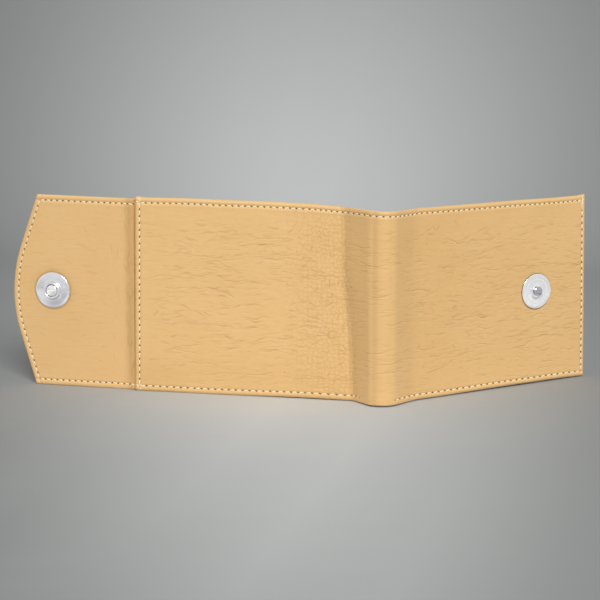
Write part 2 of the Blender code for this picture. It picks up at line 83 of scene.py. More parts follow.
LOWER_POCKET_TOP = 0.05
POCKET_CREASE_INSET = 0.004
BOARD_INSET = 0.0011
BOARD_SETBACK = 0.0016

# Flap, with the sizes of the wallet's solids
FLAP_INSET = 0.0011
FLAP_LENGTH = 0.0526
FLAP_TIP_RADIUS = 0.064
FLANK_ANGLE = math.radians(19.0)
FLAP_SNAP = 0.0324
FLAP_TAIL = 0.008
FLAP_FOLD_TURN = math.radians(-1.0)
FLAP_STIFFENER_OUT = 0.00075
FLAP_STIFFENER_IN = 0.0011
FLAP_STIFFENER_INSET = 0.006
FLAP_LINING_OUT = 0.0013
FLAP_LINING_IN = 0.00165
FLAP_LINING_INSET = 0.0012
FLAP_TURNED_OUT = 0.0008
FLAP_TURNED_IN = 0.00115
FLAP_TURNED_WIDTH = 0.005

# Stud on the front panel
STUD_PLACE = 0.075
SNAP_HEIGHT = 0.047

# Softness of the folds: half the length that each crease of the spine and flap bends over
SPINE_SOFTNESS = (0.0022, 0.003, 0.0034, 0.0042)
FLAP_SOFTNESS = (0.0022, 0.0035)

# The back crease of the spine slants: how far it strays along the panel, by height
SLANT_HEIGHTS = (0.0, 0.035, 0.062, 0.094)
SLANT_SHIFTS = (0.0026, 0.0012, -0.0018, -0.0026)
SLANT_RUN = 0.02

# Lean of the upright free edges, which aren't quite square to the wallet's foot
BACK_EDGE = 0.0001
BACK_LEAN = 0.0014
FRONT_LEAN = 0.0021
FRONT_LEAN_CENTRE = 0.43
FLAP_LEAN = 0.0027
LEAN_RUN = 0.04

# Small unevenness of the upright leather: how far its top and bottom stray, along the wallet
UNEVEN_TOP_PLACES = (0.0, 0.005, 0.02, 0.032, 0.045, 0.06, 0.075, 0.09, 0.1, 0.106, 0.118, 0.128,
                     0.142, 0.152, 0.172, 0.212, 0.235, 0.25, 0.2552)
UNEVEN_TOPS = (0.0019, 0.0013, 0.0014, 0.00135, 0.001, 0.0009, 0.0006, 0.00015, -0.00045, -0.0008,
               -0.00095, -0.00135, -0.0016, -0.00145, -0.0014, -0.00115, -0.00125, -0.001, -0.0005)
UNEVEN_FOOT_PLACES = (0.0, 0.04, 0.06, 0.075, 0.09, 0.103, 0.112, 0.125, 0.14, 0.165, 0.195, 0.24,
                      0.2552)
UNEVEN_FEET = (0.0, 0.0, 0.0002, 0.0005, 0.0005, 0.0003, 0.0005, 0.0008, 0.0007, 0.0005, 0.0008,
               0.0008, 0.0005)
FLAP_TOP = 0.0945
FLAP_TOP_RISE = 0.0008
FLAP_FOOT = 0.0

# Fineness of the surfaces
FACE_STEP = 0.000385
SHEET_STEP = 0.0012
FACE_INSET = 0.004
BACK_CORNER = 0.0013
SQUARE_CORNER = 0.0005
INNER_CORNER = 0.0018
CORNER_STEPS = 8
RIM_STEPS = 10

# Sewn edge: a puffed roll outside the seam and a valley under the stitches
SEAM_INSET = 0.0026
SIDE_SEAM_INSET = 0.0021
BACK_SEAM_INSET = 0.0025
VALLEY_DEPTH = 0.00026
VALLEY_WIDTH = 0.00055
ROLL_HEIGHT = 0.00012
ROLL_PLACE = 0.0014
ROLL_WIDTH = 0.0007
SHOULDER_HEIGHT = 0.00005
SHOULDER_PLACE = 0.0038
SHOULDER_WIDTH = 0.0008

# Stitches. The mean pitch of the rows only sets how long the needle holes are.
MEAN_PITCH = 0.0032
STITCH_SHARE = 0.84
STITCH_WIDTH = 0.00064
STITCH_HEIGHT = 0.00045
STITCH_SINK = 0.0004
STITCH_SLANT = math.radians(13.0)
STITCH_RINGS = 7
STITCH_SIDES = 6
STITCH_TAPER = 0.93
HOLE_RADIUS = 0.00035
HOLE_SLANT = 0.7
HOLE_INNER_SHARE = 0.8
HOLE_OUTER_SHARE = 1.3
LONG_STITCH = 0.0078
BOTTOM_BREAK_START = 0.1125
BOTTOM_BREAK_END = 0.1345
BREAK_SEWN_RUN = 0.001
BREAK_BARE_RUN = 0.002
FLAP_ROW_START = -0.0009
OUTER_SEAT = 0.0004

# Edges of the sheets: rings over the fine face and round the rim, and the turned strip of the
# spine's wings
EDGE_ROUND = 0.0001
FINE_SHARES = np.linspace(0.93, 0.0, 13)
SHEET_SHARES = (0.8, 0.6, 0.4, 0.25, 0.12, 0.0)
SHEET_RIM_STEPS = 6
WING_TURNED_IN = 0.001
WING_TURNED_OUT = 0.00065
WING_TURNED_WIDTH = 0.00135

# Half the length of the leather's bend at each crease
BEND_HALF = 0.0055
RIDGE_BEND_HALF = 0.0038
ROOT_BEND_HALF = 0.0035
FLAP_BEND_HALF = 0.0045

# Where the turned strip narrows and thins towards the spine, off the outer creases
NARROW_FAR = 0.004
NARROW_NEAR = 0.0017
THINNING_HALF = 0.0015

# Flap: thin sewn tail, the rise of its edge past the root strip and the start of its lining
TAIL_HALF_LEATHER = 0.00017
THIN_START = -0.0012
THIN_END = 0.0014
TAIL_FADE_START = -0.0018
TAIL_FADE_END = -0.0002
RAISED_BEFORE = 0.001
RAISED_PAST = 0.003
ROOT_TURNED_IN_GAP = 0.0002
ROOT_TURNED_OUT_GAP = 0.0001
ROOT_TURNED_WIDTH = 0.0011
ROOT_LINING_START = 0.0012

# Creases of the leather, in a raster of lengths and heights. They sway, are drawn back to their
# slope, fade at both ends and break here and there.
RASTER = 0.0002
CREASE_POINT_STEP = 0.00015
CREASE_WIDTH = 0.0003
CREASE_DEPTH = 0.00009
CREASE_REACH = 4
CREASE_HOMING = 0.7
CREASE_WAVE = 0.25
CREASE_WAVE_RUN = 0.0011
CREASE_FADE = 0.6
CREASE_BREAK = 0.4
CREASE_BREAK_RUN = 0.0016
CREASE_FAINTEST = 0.3
FAINT_CREASE = 0.55
LEVEL_SLOPE = (0.0, 0.16)
LONG_CREASE = (0.010, 0.036)
MIDDLE_CREASE = (0.003, 0.010)
SHORT_CREASE = (0.0012, 0.0045)

# Soft swells and ripples of the leather
SWELL_LONG = 0.016
SWELL_HIGH = 0.012
SWELL_HEIGHT = 0.00007
RIPPLE_LONG = 0.005
RIPPLE_HIGH = 0.0018
RIPPLE_HEIGHT = 0.00002
FLAP_SWELL_SHARE = 0.6

# Leather pressed under the round plates with a ring of painted shadow round them, painted shade
# low on the back panel, round the flap's cap and by the back panel's edge on the flap's root, and
# the swell of the flap's root
PRESSED_DEPTH = 0.00015
SHADOW_RING_OFFSET = 0.00035
PRESSED_START = 0.0002
PRESSED_END = 0.002
FOOT_PAINTED_SHADE = 0.27
FOOT_SHADE_HEIGHTS = (0.006, 0.03)
CAP_PAINTED_SHADOW = 0.3
CAP_SHADOW_WIDTH = 0.003
CAP_SHADE = 0.5
ROOT_SWELL = 0.0009
ROOT_SWELL_PLACE = -0.0012
ROOT_SWELL_WIDTH = 0.0036
ROOT_SHADOW_PLACE = -0.0003
ROOT_SHADOW_WIDTH = 0.0031

# Line pressed below a card pocket's open edge, and its bulge
PRESSED_LINE_DEPTH = 0.00012
PRESSED_LINE_INSET = 0.0014
PRESSED_LINE_WIDTH = 0.00035
POCKET_BULGE = 0.0001

# Metal of the snap. At rest the cap sits a little high and near the fold, and the stud a little
# near the spine.
SNAP_RAISE = 0.0009
SNAP_SHIFT = -0.0007
STUD_SHIFT = -0.0009
STUD_TURN = math.radians(3.0)
PUNCH_SIDES = 48
PUNCH_LENGTH = 0.012
CAP_RADIUS = 0.009
CAP_RIM = 0.00045
CAP_FOOT = 0.00045
CAP_TOP = 0.00115
CAP_RIM_DROP = 0.0007
CAP_UNDERCUT = 0.0005
CAP_CROWN = ((0.0062, 0.00003), (0.0076, 0.00015))
COLLAR_RADIUS = 0.0044
COLLAR_ROUND = 0.00065
COLLAR_TOP = 0.0028
COLLAR_FILLET = 0.0005
COLLAR_FILLET_RISE = 0.00055
RIVET_RADIUS = 0.0028
RIVET_GAP = 0.0001
RIVET_TOP = 0.0024
RIVET_EDGE = 0.0002
RIVET_WALL = 0.0004
RIVET_FLARE = 0.001
RIVET_FLARE_WALL = 0.0001
SOCKET_RADIUS = 0.0062
SOCKET_GAP = 0.0001
SOCKET_WALL = 0.001
SOCKET_FACE = 0.0025
SOCKET_PLATE = 0.0004
SOCKET_MOUTH = 0.0046
SOCKET_BACK_EDGE = 0.0003
SOCKET_FACE_EDGE = 0.0004
SOCKET_MOUTH_EDGE = 0.0002
SPRING_RADIUS = 0.0046
SPRING_THICKNESS = 0.0003
BORE_GAP = 0.0002
STUD_PLATE_RADIUS = 0.0087
STUD_PLATE_TOP = 0.00105
STUD_PLATE_FOOT = 0.00045
STUD_PLATE_EDGE = 0.00015
STUD_PLATE_DISH = ((0.003, 0.00015), (0.006, 0.00005))
STUD_BORE_RISE = 0.0002
STUD_COLLAR_RADIUS = 0.0027
STUD_COLLAR_EDGE = 0.0003
STUD_COLLAR_DROP = 0.0001
STUD_POST_RADIUS = 0.0014
STUD_HEAD_RADIUS = 0.0024
STUD_HEAD_HEIGHT = 0.0013
STUD_HEIGHT = 0.002
STUD_WASHER_RADIUS = 0.005
WASHER_EDGE = 0.0001

# Finish of the outer leather. A span is the two ends of a range and the values at them.
TONE_SIZE = 0.022
MOTTLE_SIZE = 0.0035
MOTTLE_STRETCH = 2.6
PATCH_SIZE = 0.013
GRAIN_SIZE = 0.0007
FLECK_SPAN = (0.35, 0.8, 0.0, 0.07)
ROUGHNESS_SPAN = (0.3, 0.7, 0.44, 0.56)
CRACKLE_START_SPAN = (0.066, 0.098, 0.0, 1.0)
CRACKLE_END_SPAN = (0.108, 0.114, 1.0, 0.0)
WORN_PATCH_SPAN = (0.4, 0.6, 0.22, 1.0)
WORN_TOP_SPAN = (0.076, 0.089, 1.0, 0.2)
WORN_EDGE_SPAN = (0.01, 0.045, 0.55, 1.0)
CRACKLE_CELL = 0.0024
CRACKLE_STRETCH = 1.15
CRACKLE_WIDTH = 0.00027
CRACKLE_STIR_SIZE_SHARE = 0.6
CRACKLE_STIR_SHARES = (0.9, 0.5)
CRACKLE_UNEVENNESS = 0.72
CRACKLE_STRENGTH = 0.56

# Sets of level wrinkles: spacing of the rows, length, sway, offset of the pattern and strength
WRINKLE_ROWS = ((0.0056, 0.030, 0.019, 0.0, 1.0), (0.0041, 0.018, 0.0105, 0.31, 0.85),
                (0.003, 0.009, 0.005, 0.67, 0.65), (0.0024, 0.012, 0.0055, 0.52, 0.5))
WRINKLE_WIDTH = 0.0003
WRINKLE_SHOWN = (0.47, 0.6)
WRINKLE_BREAKS = 1.6
ROW_DIFFERENCE = 7.3
LIP_DROP = 1.7
LIP_SHARE = 1.1

# Relief of the leather's finish: the holes and wrinkles sunk against the grain
HOLE_SINK = 1.6
WRINKLE_SINK = 0.55
GRAIN_RELIEF = 0.18
RELIEF_DISTANCE = 0.00012
RELIEF_STRENGTH = 0.7
# Painted light: shadow colour for the needle holes and plate rings, a highlight below the wrinkles,
# and their strengths
PAINTED_SHADOW_BROWN = "38200C"
LIP_HIGHLIGHT_COLOUR = "F8DCAC"
LIP_HIGHLIGHT_STRENGTH = 0.22
PAINTED_SHADE_STRENGTH = 0.42
CREASE_SHADE_STRENGTH = 0.48
WRINKLE_SHADE_STRENGTH = 0.5
CONTACT_SHADOW_STRENGTH = 0.8
HOLE_SHADOW_STRENGTH = 0.95

# Thread plies, woven lining and board
PLY_SLANT = math.radians(35.0)
PLY_PITCH = 0.0003456
WEAVE_PITCH = 0.001579
SLUB_SIZE = 0.004
FIBRE_SIZE = 0.002
FIBRE_STRETCH = 4.0
HAZE_SIZE = 0.0025

# Lathe, sharp edges and random draws
TURN_STEPS = 96
SHARP_ANGLE = math.radians(50.0)
SEED = 7

# The photograph's view
VIEW_AZIMUTH = math.radians(12.7)
VIEW_ELEVATION = math.radians(9.06)
VIEW_DISTANCE = 0.8
VIEW_AIM = (0.00965, -0.0389, 0.0549)
PHOTO_SIZE_PX = 600
FOCAL_PX = 1689
CENTRE_RISE_PX = 13.1
SENSOR_WIDTH_MM = 36.0
NEAREST_SEEN = 0.01

# Studio: a floor that curves up into a wall, the glow painted on it, and the light
STAGE_HALF = 2.4
STAGE_WALL = 0.75
STAGE_COVE = 0.35
STAGE_TOP = 2.6
STAGE_COLUMNS = 97
FLOOR_ROWS = 99
COVE_ROWS = 25
WALL_ROWS = 60
GLOW_PX = (0.0, 76.0, 129.0, 150.0, 198.0, 223.0, 302.0, 353.0, 500.0)
GLOW_GREYS = (204, 199, 188, 183, 173, 167, 150, 140, 128)
GLOW_HEIGHT_SHARE = 1.45
NEAREST_AHEAD = 0.05
PAPER_LIGHT = 0.93
PAPER_TINT = (0.972, 1.0, 0.99, 1.0)
STUDIO_PANEL_SIZE = 0.1
STUDIO_PANEL_SPAN = (0.38, 0.56, 0.5, 0.97)
WORLD_LEVEL = 0.54
WORLD_MIRRORED = 0.93
KEY_WATTS = 54.0
KEY_SIZE = 1.1
KEY_PLACE = (0.84, -2.0, 1.5)


def joint_place(name):
    """Plan place of the upright crease that a joint turns on."""
    joint = next(entry for entry in frame["joints"] if entry["name"] == name)
    return np.array(joint["pos_m"][:2])


def unit(vector):
    """A plan vector made one long."""
    return vector / np.linalg.norm(vector)


def heading(angle):
    """Unit plan vector at an angle from +X."""
    return np.array([math.cos(angle), math.sin(angle)])


def make_chain(places, first, last, starts, softness, side):
    """A folded strip seen from above: its creases, the direction of each stretch, and the side
    on which the inside of the wallet lies (+1 to the left of the way it runs, -1 to the right)."""
    middle = [unit(b - a) for a, b in zip(places, places[1:])]
    return {"places": np.array(places), "ways": np.array([first] + middle + [last]),
            "starts": np.array(starts), "softness": softness, "side": side}


def plan(chain, along):
    """Place and inward normal in plan at lengths along a folded strip.

    A stretch is straight: crease + way times the length past it. Within the softness h of a
    crease the corner is a quadratic Bezier curve, crease - h (1-u)^2 way_before + h u^2 way_after,
    with u running from 0 to 1, and the tangent there is the mix of both ways at u.
    """
    starts = chain["starts"]
    ways = chain["ways"]
    stretch = np.searchsorted(starts, along)
    anchor = np.clip(stretch - 1, 0, None)
    tangent = ways[stretch]
    place = chain["places"][anchor] + (along - starts[anchor])[..., None] * tangent
    for index, half in enumerate(chain["softness"]):
        near = np.abs(along - starts[index]) < half
        u = ((along[near] - starts[index] + half) / (2 * half))[:, None]
        before = ways[index]
        after = ways[index + 1]
        place[near] = chain["places"][index] - half * (1 - u) ** 2 * before + half * u ** 2 * after
        tangent[near] = (1 - u) * before + u * after
    tangent = tangent / np.linalg.norm(tangent, axis=-1, keepdims=True)
    inward = chain["side"] * np.stack([-tangent[..., 1], tangent[..., 0]], axis=-1)
    return place, inward


def smooth_step(low, high, value):
    """0 below low, 1 above high, and 3t^2 - 2t^3 between them."""
    t = np.clip((value - low) / (high - low), 0.0, 1.0)
    return t * t * (3 - 2 * t)


spine_places = [joint_place(name) for name in ("spine_back_fold", "ridge_back_fold",
                                               "ridge_front_fold", "spine_front_fold")]
spine_lengths = [np.linalg.norm(b - a) for a, b in zip(spine_places, spine_places[1:])]
spine_starts = BACK_LENGTH + np.concatenate([[0.0], np.cumsum(spine_lengths)])
COVER = make_chain(spine_places, heading(0.0), heading(FRONT_HEADING), spine_starts,
                   SPINE_SOFTNESS, 1)
FOLD_BACK, RIDGE_BACK, RIDGE_FRONT, FOLD_FRONT = spine_starts
COVER_LENGTH = FOLD_FRONT + FRONT_LENGTH
RIDGE_MIDDLE = (RIDGE_BACK + RIDGE_FRONT) / 2
RIDGE_HALF = (RIDGE_FRONT - RIDGE_BACK) / 2
WING_BACK_MIDDLE = (FOLD_BACK + RIDGE_BACK) / 2
WING_FRONT_MIDDLE = (RIDGE_FRONT + FOLD_FRONT) / 2

flap_places = [joint_place("flap_root_fold"), joint_place("flap_fold")]
ROOT_LENGTH = float(np.linalg.norm(flap_places[1] - flap_places[0]))
FLAP = make_chain(flap_places, heading(math.pi), heading(math.pi + 2 * FLAP_FOLD_TURN),
                  np.array([0.0, ROOT_LENGTH]), FLAP_SOFTNESS, -1)
FLAP_MIDDLE = PANEL_HEIGHT / 2
TIP_CENTRE = FLAP_LENGTH - FLAP_TIP_RADIUS
TANGENT_RISE = FLAP_TIP_RADIUS * math.sin(FLANK_ANGLE)
TANGENT_REACH = TIP_CENTRE + FLAP_TIP_RADIUS * math.cos(FLANK_ANGLE)
FLAP_HALF = PANEL_HEIGHT / 2 - FLAP_INSET
FLAP_CORNER = TANGENT_REACH - (FLAP_HALF - TANGENT_RISE) * math.tan(FLANK_ANGLE)
FLAP_END = ROOT_LENGTH + FLAP_CORNER
ROOT_MIDDLE = ROOT_LENGTH / 2


def on_cover(along, height, depth):
    """Points of the cover: the plan curve at a length, moved inward by a depth, less the ridge's
    arch of (1 - x^2)^2 times its rise. Heights are stretched between the uneven foot and top, the
    free edges lean, and the back crease of the spine slides along the panel with the height."""
    up = height / PANEL_HEIGHT
    lean = (BACK_LEAN * (up - 0.5) * (1 - smooth_step(0.0, LEAN_RUN, along))
            + FRONT_LEAN * (1 - FRONT_LEAN_CENTRE - up)
            * smooth_step(COVER_LENGTH - LEAN_RUN, COVER_LENGTH, along))
    place, inward = plan(COVER, along + lean)
    x = np.clip((along - RIDGE_MIDDLE) / RIDGE_HALF, -1.0, 1.0)
    arch = RIDGE_RISE * (1 - x * x) ** 2
    slide = (np.interp(height, SLANT_HEIGHTS, SLANT_SHIFTS)
             * smooth_step(FOLD_BACK - SLANT_RUN, FOLD_BACK, along)
             * np.clip((RIDGE_BACK - along) / (RIDGE_BACK - FOLD_BACK), 0.0, 1.0))
    foot = np.interp(along, UNEVEN_FOOT_PLACES, UNEVEN_FEET)
    top = PANEL_HEIGHT + np.interp(along, UNEVEN_TOP_PLACES, UNEVEN_TOPS)
    rise = foot + up * (top - foot)
    flat = place + inward * (depth - arch)[..., None] + slide[..., None] * COVER["ways"][0]
    return np.concatenate([flat, rise[..., None]], axis=-1)


def flap_reach(height):
    """How far the flap's pointed end reaches past its corners: an arc round the tip, and a
    straight flank on each side of it."""
    off = np.abs(height - FLAP_MIDDLE)
    arc = TIP_CENTRE + np.sqrt(np.maximum(FLAP_TIP_RADIUS ** 2 - off ** 2, 0.0))
    flank = FLAP_CORNER + (FLAP_HALF - off) * math.tan(FLANK_ANGLE)
    return np.where(off < TANGENT_RISE, arc, flank) - FLAP_CORNER


def flap_past(along, height):
    """Length past the flap's root: its outer half is pushed out by the reach of its pointed end,
    and the whole leans a little."""
    push = smooth_step(ROOT_LENGTH, FLAP_END - FACE_INSET, along)
    up = (height - FLAP_INSET) / (2 * FLAP_HALF)
    lean = FLAP_LEAN * (0.5 - up) * np.clip(along / FLAP_END, 0.0, 1.0)
    return along + push * flap_reach(height) + lean, up


def on_flap(along, height, depth):
    """Points of the flap, by lengths from the fold at the back panel."""
    past, up = flap_past(along, height)
    place, inward = plan(FLAP, past)
    top = FLAP_TOP + FLAP_TOP_RISE * np.clip(past / FLAP_END, 0.0, 1.0)
    rise = FLAP_FOOT + up * (top - FLAP_FOOT)
    return np.concatenate([place + inward * depth[..., None], rise[..., None]], axis=-1)


def bell(value, middle, width):
    """exp(-((value - middle) / width)^2)."""
    return np.exp(-((value - middle) / width) ** 2)


def edge_roll(distance, inset):
    """Relief across a sewn edge: a roll outside the seam, a valley on it, a low shoulder inside."""
    return (ROLL_HEIGHT * bell(distance, ROLL_PLACE, ROLL_WIDTH)
            - VALLEY_DEPTH * bell(distance, inset, VALLEY_WIDTH)
            + SHOULDER_HEIGHT * bell(distance, SHOULDER_PLACE, SHOULDER_WIDTH))


def grid_sample(field, spacing, along, height):
    """Bilinear reading of a raster of values at lengths and heights, held inside its last cell."""
    x = np.clip(along / spacing, 0, field.shape[0] - 1.001)
    y = np.clip(height / spacing, 0, field.shape[1] - 1.001)
    i = x.astype(int)
    j = y.astype(int)
    u = x - i
    v = y - j
    return (field[i, j] * (1 - u) * (1 - v) + field[i + 1, j] * u * (1 - v)
            + field[i, j + 1] * (1 - u) * v + field[i + 1, j + 1] * u * v)


def smooth_noise(rng, length, height, spacing, grain_long, grain_high):
    """A raster of soft random swells, from a coarse grid of draws read back bilinearly."""
    nodes = rng.normal(size=(int(length / grain_long) + 3, int(height / grain_high) + 3))
    x = np.arange(int(length / spacing) + 2) * spacing / grain_long
    y = np.arange(int(height / spacing) + 2) * spacing / grain_high
    i = x.astype(int)
    j = y.astype(int)
    u = smooth_step(0.0, 1.0, x - i)[:, None]
    v = smooth_step(0.0, 1.0, y - j)[None, :]
    return (nodes[np.ix_(i, j)] * (1 - u) * (1 - v) + nodes[np.ix_(i + 1, j)] * u * (1 - v)
            + nodes[np.ix_(i, j + 1)] * (1 - u) * v + nodes[np.ix_(i + 1, j + 1)] * u * v)


def walk_creases(rng, count, low, high, slope, lengths, wander, share):
    """Points of random creases inside a rectangle: each is a walk whose direction drifts round a
    slope. Returns lengths, heights and strengths, with strengths that fade at both ends."""
    found = []
    for _ in range(count):
        reach = rng.uniform(*lengths)
        steps = int(reach / CREASE_POINT_STEP)
        run = np.arange(steps) * CREASE_POINT_STEP
        start = rng.uniform(low, high)
        way = rng.normal(slope[0], slope[1])
        drift = np.cumsum(rng.normal(0.0, wander, steps))
        drift -= np.linspace(0.0, drift[-1], steps) * CREASE_HOMING
        angle = way + drift + CREASE_WAVE * np.sin(run / CREASE_WAVE_RUN
                                                   + rng.uniform(0, math.tau))
        x = start[0] + np.cumsum(np.cos(angle)) * CREASE_POINT_STEP
        y = start[1] + np.cumsum(np.sin(angle)) * CREASE_POINT_STEP
        fade = np.sin(np.linspace(0.0, math.pi, steps)) ** CREASE_FADE
        breaks = 1 - CREASE_BREAK + CREASE_BREAK * np.sin(run / CREASE_BREAK_RUN
                                                          + rng.uniform(0, math.tau))
        strength = share * rng.uniform(CREASE_FAINTEST, 1.0) * fade * breaks
        found.append(np.stack([x, y, strength], axis=1))
    return np.concatenate(found)


def draw_creases(points, length, height):
    """A raster in which each crease point leaves a bell of its strength, and the highest stays."""
    field = np.zeros((int(length / RASTER) + 2, int(height / RASTER) + 2))
    column = np.rint(points[:, 0] / RASTER).astype(int)
    row = np.rint(points[:, 1] / RASTER).astype(int)
    span = range(-CREASE_REACH, CREASE_REACH + 1)
    for shift_x in span:
        for shift_y in span:
            i = column + shift_x
            j = row + shift_y
            inside = (i >= 0) & (i < field.shape[0]) & (j >= 0) & (j < field.shape[1])
            gap = np.hypot(i * RASTER - points[:, 0], j * RASTER - points[:, 1])
            value = points[:, 2] * np.exp(-(gap / CREASE_WIDTH) ** 2)
            np.maximum.at(field, (i[inside], j[inside]), value[inside])
    return field


def crease_field(seed, rows, length):
    """Raster of all the creases in a table, drawn in its order."""
    rng = np.random.default_rng(seed)
    points = [walk_creases(rng, *row) for row in rows]
    return draw_creases(np.concatenate(points), length, PANEL_HEIGHT)


# Creases, each row with their number, the corners of their rectangle, slope and its spread,
# lengths, wander and strength. The cover has level wrinkles, thickest halfway up, crackle beside
# the back crease of the spine and four long upright lines. The flap has upright creases in its
# fold and faint ones past it.
COVER_CREASES = (
    (46, (0.004, 0.014), (0.092, 0.078), LEVEL_SLOPE, LONG_CREASE, 0.014, 1.0),
    (120, (0.004, 0.010), (0.104, 0.082), LEVEL_SLOPE, MIDDLE_CREASE, 0.03, 1.0),
    (300, (0.074, 0.008), (0.109, 0.088), (0.0, 0.7), SHORT_CREASE, 0.05, 1.0),
    (60, (0.078, 0.006), (0.109, 0.088), (1.5, 0.2), SHORT_CREASE, 0.04, 1.0),
    (4, (0.1046, 0.005), (0.1070, 0.010), (1.57, 0.015), (0.072, 0.080), 0.005, 1.0),
    (30, (0.111, 0.004), (0.146, 0.09), LEVEL_SLOPE, MIDDLE_CREASE, 0.03, 1.0),
    (40, (0.152, 0.018), (0.236, 0.076), LEVEL_SLOPE, LONG_CREASE, 0.016, 1.0),
    (90, (0.152, 0.014), (0.246, 0.082), LEVEL_SLOPE, MIDDLE_CREASE, 0.03, 1.0),
    (90, (0.150, 0.010), (0.180, 0.086), (0.1, 0.7), SHORT_CREASE, 0.05, 1.0),
)
FLAP_CREASES = (
    (70, (0.0006, 0.004), (0.0034, 0.088), (1.57, 0.14), (0.003, 0.011), 0.03, 1.0),
    (26, (ROOT_LENGTH, 0.03), (ROOT_LENGTH + 0.014, 0.07), (0.0, 0.1), (0.003, 0.009), 0.02,
     FAINT_CREASE),
    (20, (0.004, 0.004), (ROOT_LENGTH, 0.09), (1.57, 0.12), (0.003, 0.009), 0.03, FAINT_CREASE),
    (30, (ROOT_LENGTH, 0.006), (FLAP_END - 0.006, 0.088), (0.0, 0.3), (0.002, 0.007), 0.04,
     FAINT_CREASE),
)

TOP_ROW = PANEL_HEIGHT - SEAM_INSET
BACK_SEAM = BACK_EDGE + BACK_SEAM_INSET
FRONT_SEAM = COVER_LENGTH - SIDE_SEAM_INSET
# Rows of stitches: start and end in length and height, and pitch
COVER_ROWS = (
    ((BACK_SEAM, TOP_ROW), (FRONT_SEAM, TOP_ROW), 0.00314),
    ((BACK_SEAM, SEAM_INSET), (BOTTOM_BREAK_START, SEAM_INSET), 0.0034),
    ((BOTTOM_BREAK_END, SEAM_INSET), (FRONT_SEAM, SEAM_INSET), 0.0037),
    ((BACK_SEAM, SEAM_INSET), (BACK_SEAM, TOP_ROW), 0.00334),
    ((FRONT_SEAM, SEAM_INSET), (FRONT_SEAM, TOP_ROW - LONG_STITCH + SEAM_INSET), 0.00336),
)
FLAP_ROW_TOP = PANEL_HEIGHT - FLAP_INSET - SEAM_INSET
FLAP_ROW_LOW = FLAP_INSET + SEAM_INSET
FLAP_ROW_END = FLAP_END - SEAM_INSET
FLAP_ROWS = (
    ((FLAP_ROW_START, FLAP_ROW_TOP), (FLAP_ROW_END, FLAP_ROW_TOP), 0.0031),
    ((FLAP_ROW_START, FLAP_ROW_LOW), (FLAP_ROW_END, FLAP_ROW_LOW), 0.0031),
    ((FLAP_ROW_END, FLAP_ROW_LOW), (FLAP_ROW_END, FLAP_ROW_TOP), 0.003),
)


def row_marks(row, ends):
    """Places spread evenly on a row: the middles of its stitches, or the holes at their ends."""
    start = np.array(row[0])
    end = np.array(row[1])
    count = max(1, round(float(np.linalg.norm(end - start)) / row[2]))
    share = np.arange(count + 1) / count if ends else (np.arange(count) + 0.5) / count
    return start + share[:, None] * (end - start)


def seam_places(rows, along, height):
    """Nearest row's coordinates: how many stitches along the row a place is, and how far off it.
    Both are linear beside a row, so that the holes stay sharp between the vertices."""
    best = np.full_like(along, 1.0)
    run = np.zeros_like(along)
    for row in rows:
        start = np.array(row[0])
        length = float(np.linalg.norm(np.array(row[1]) - start))
        way = (np.array(row[1]) - start) / length
        count = max(1, round(length / row[2]))
        past = (along - start[0]) * way[0] + (height - start[1]) * way[1]
        off = (height - start[1]) * way[0] - (along - start[0]) * way[1]
        beyond = np.maximum(np.maximum(-past, past - length) - HOLE_RADIUS, 0.0)
        away = np.where(beyond > 0, np.abs(off) + 1.0, np.abs(off))
        nearer = away < np.abs(best)
        best = np.where(nearer, np.where(beyond > 0, 1.0, off), best)
        run = np.where(nearer, past / length * count, run)
    return run, best


cover_crease_field = crease_field(SEED, COVER_CREASES, COVER_LENGTH)
flap_crease_field = crease_field(SEED + 1, FLAP_CREASES, FLAP_END)
swell_rng = np.random.default_rng(SEED + 2)
cover_swells = (
    SWELL_HEIGHT * smooth_noise(swell_rng, COVER_LENGTH, PANEL_HEIGHT, RASTER, SWELL_LONG,
                                SWELL_HIGH)
    + RIPPLE_HEIGHT * smooth_noise(swell_rng, COVER_LENGTH, PANEL_HEIGHT, RASTER, RIPPLE_LONG,
                                   RIPPLE_HIGH))


def pressed_round(away, radius):
    """Relief of the leather pressed under a round metal plate, and its ring of painted shadow."""
    dent = PRESSED_DEPTH * (1 - smooth_step(radius + PRESSED_START, radius + PRESSED_END, away))
    return -dent, bell(away, radius + SHADOW_RING_OFFSET, SHADOW_RING_OFFSET)


# Painted shade of the cover along its length, darkest at the back crease of the ridge
COVER_SHADE_PLACES = (FOLD_BACK, FOLD_BACK + 0.001, RIDGE_BACK - 0.0006, RIDGE_BACK + 0.0006,
                     RIDGE_BACK + 0.002, RIDGE_BACK + 0.0034, FOLD_FRONT, FOLD_FRONT + 0.006,
                     FOLD_FRONT + 0.04, FOLD_FRONT + 0.085)
COVER_PAINTED_SHADES = (0.0, 0.12, 0.12, 0.5, 0.45, 0.28, 0.26, 0.34, 0.17, 0.03)


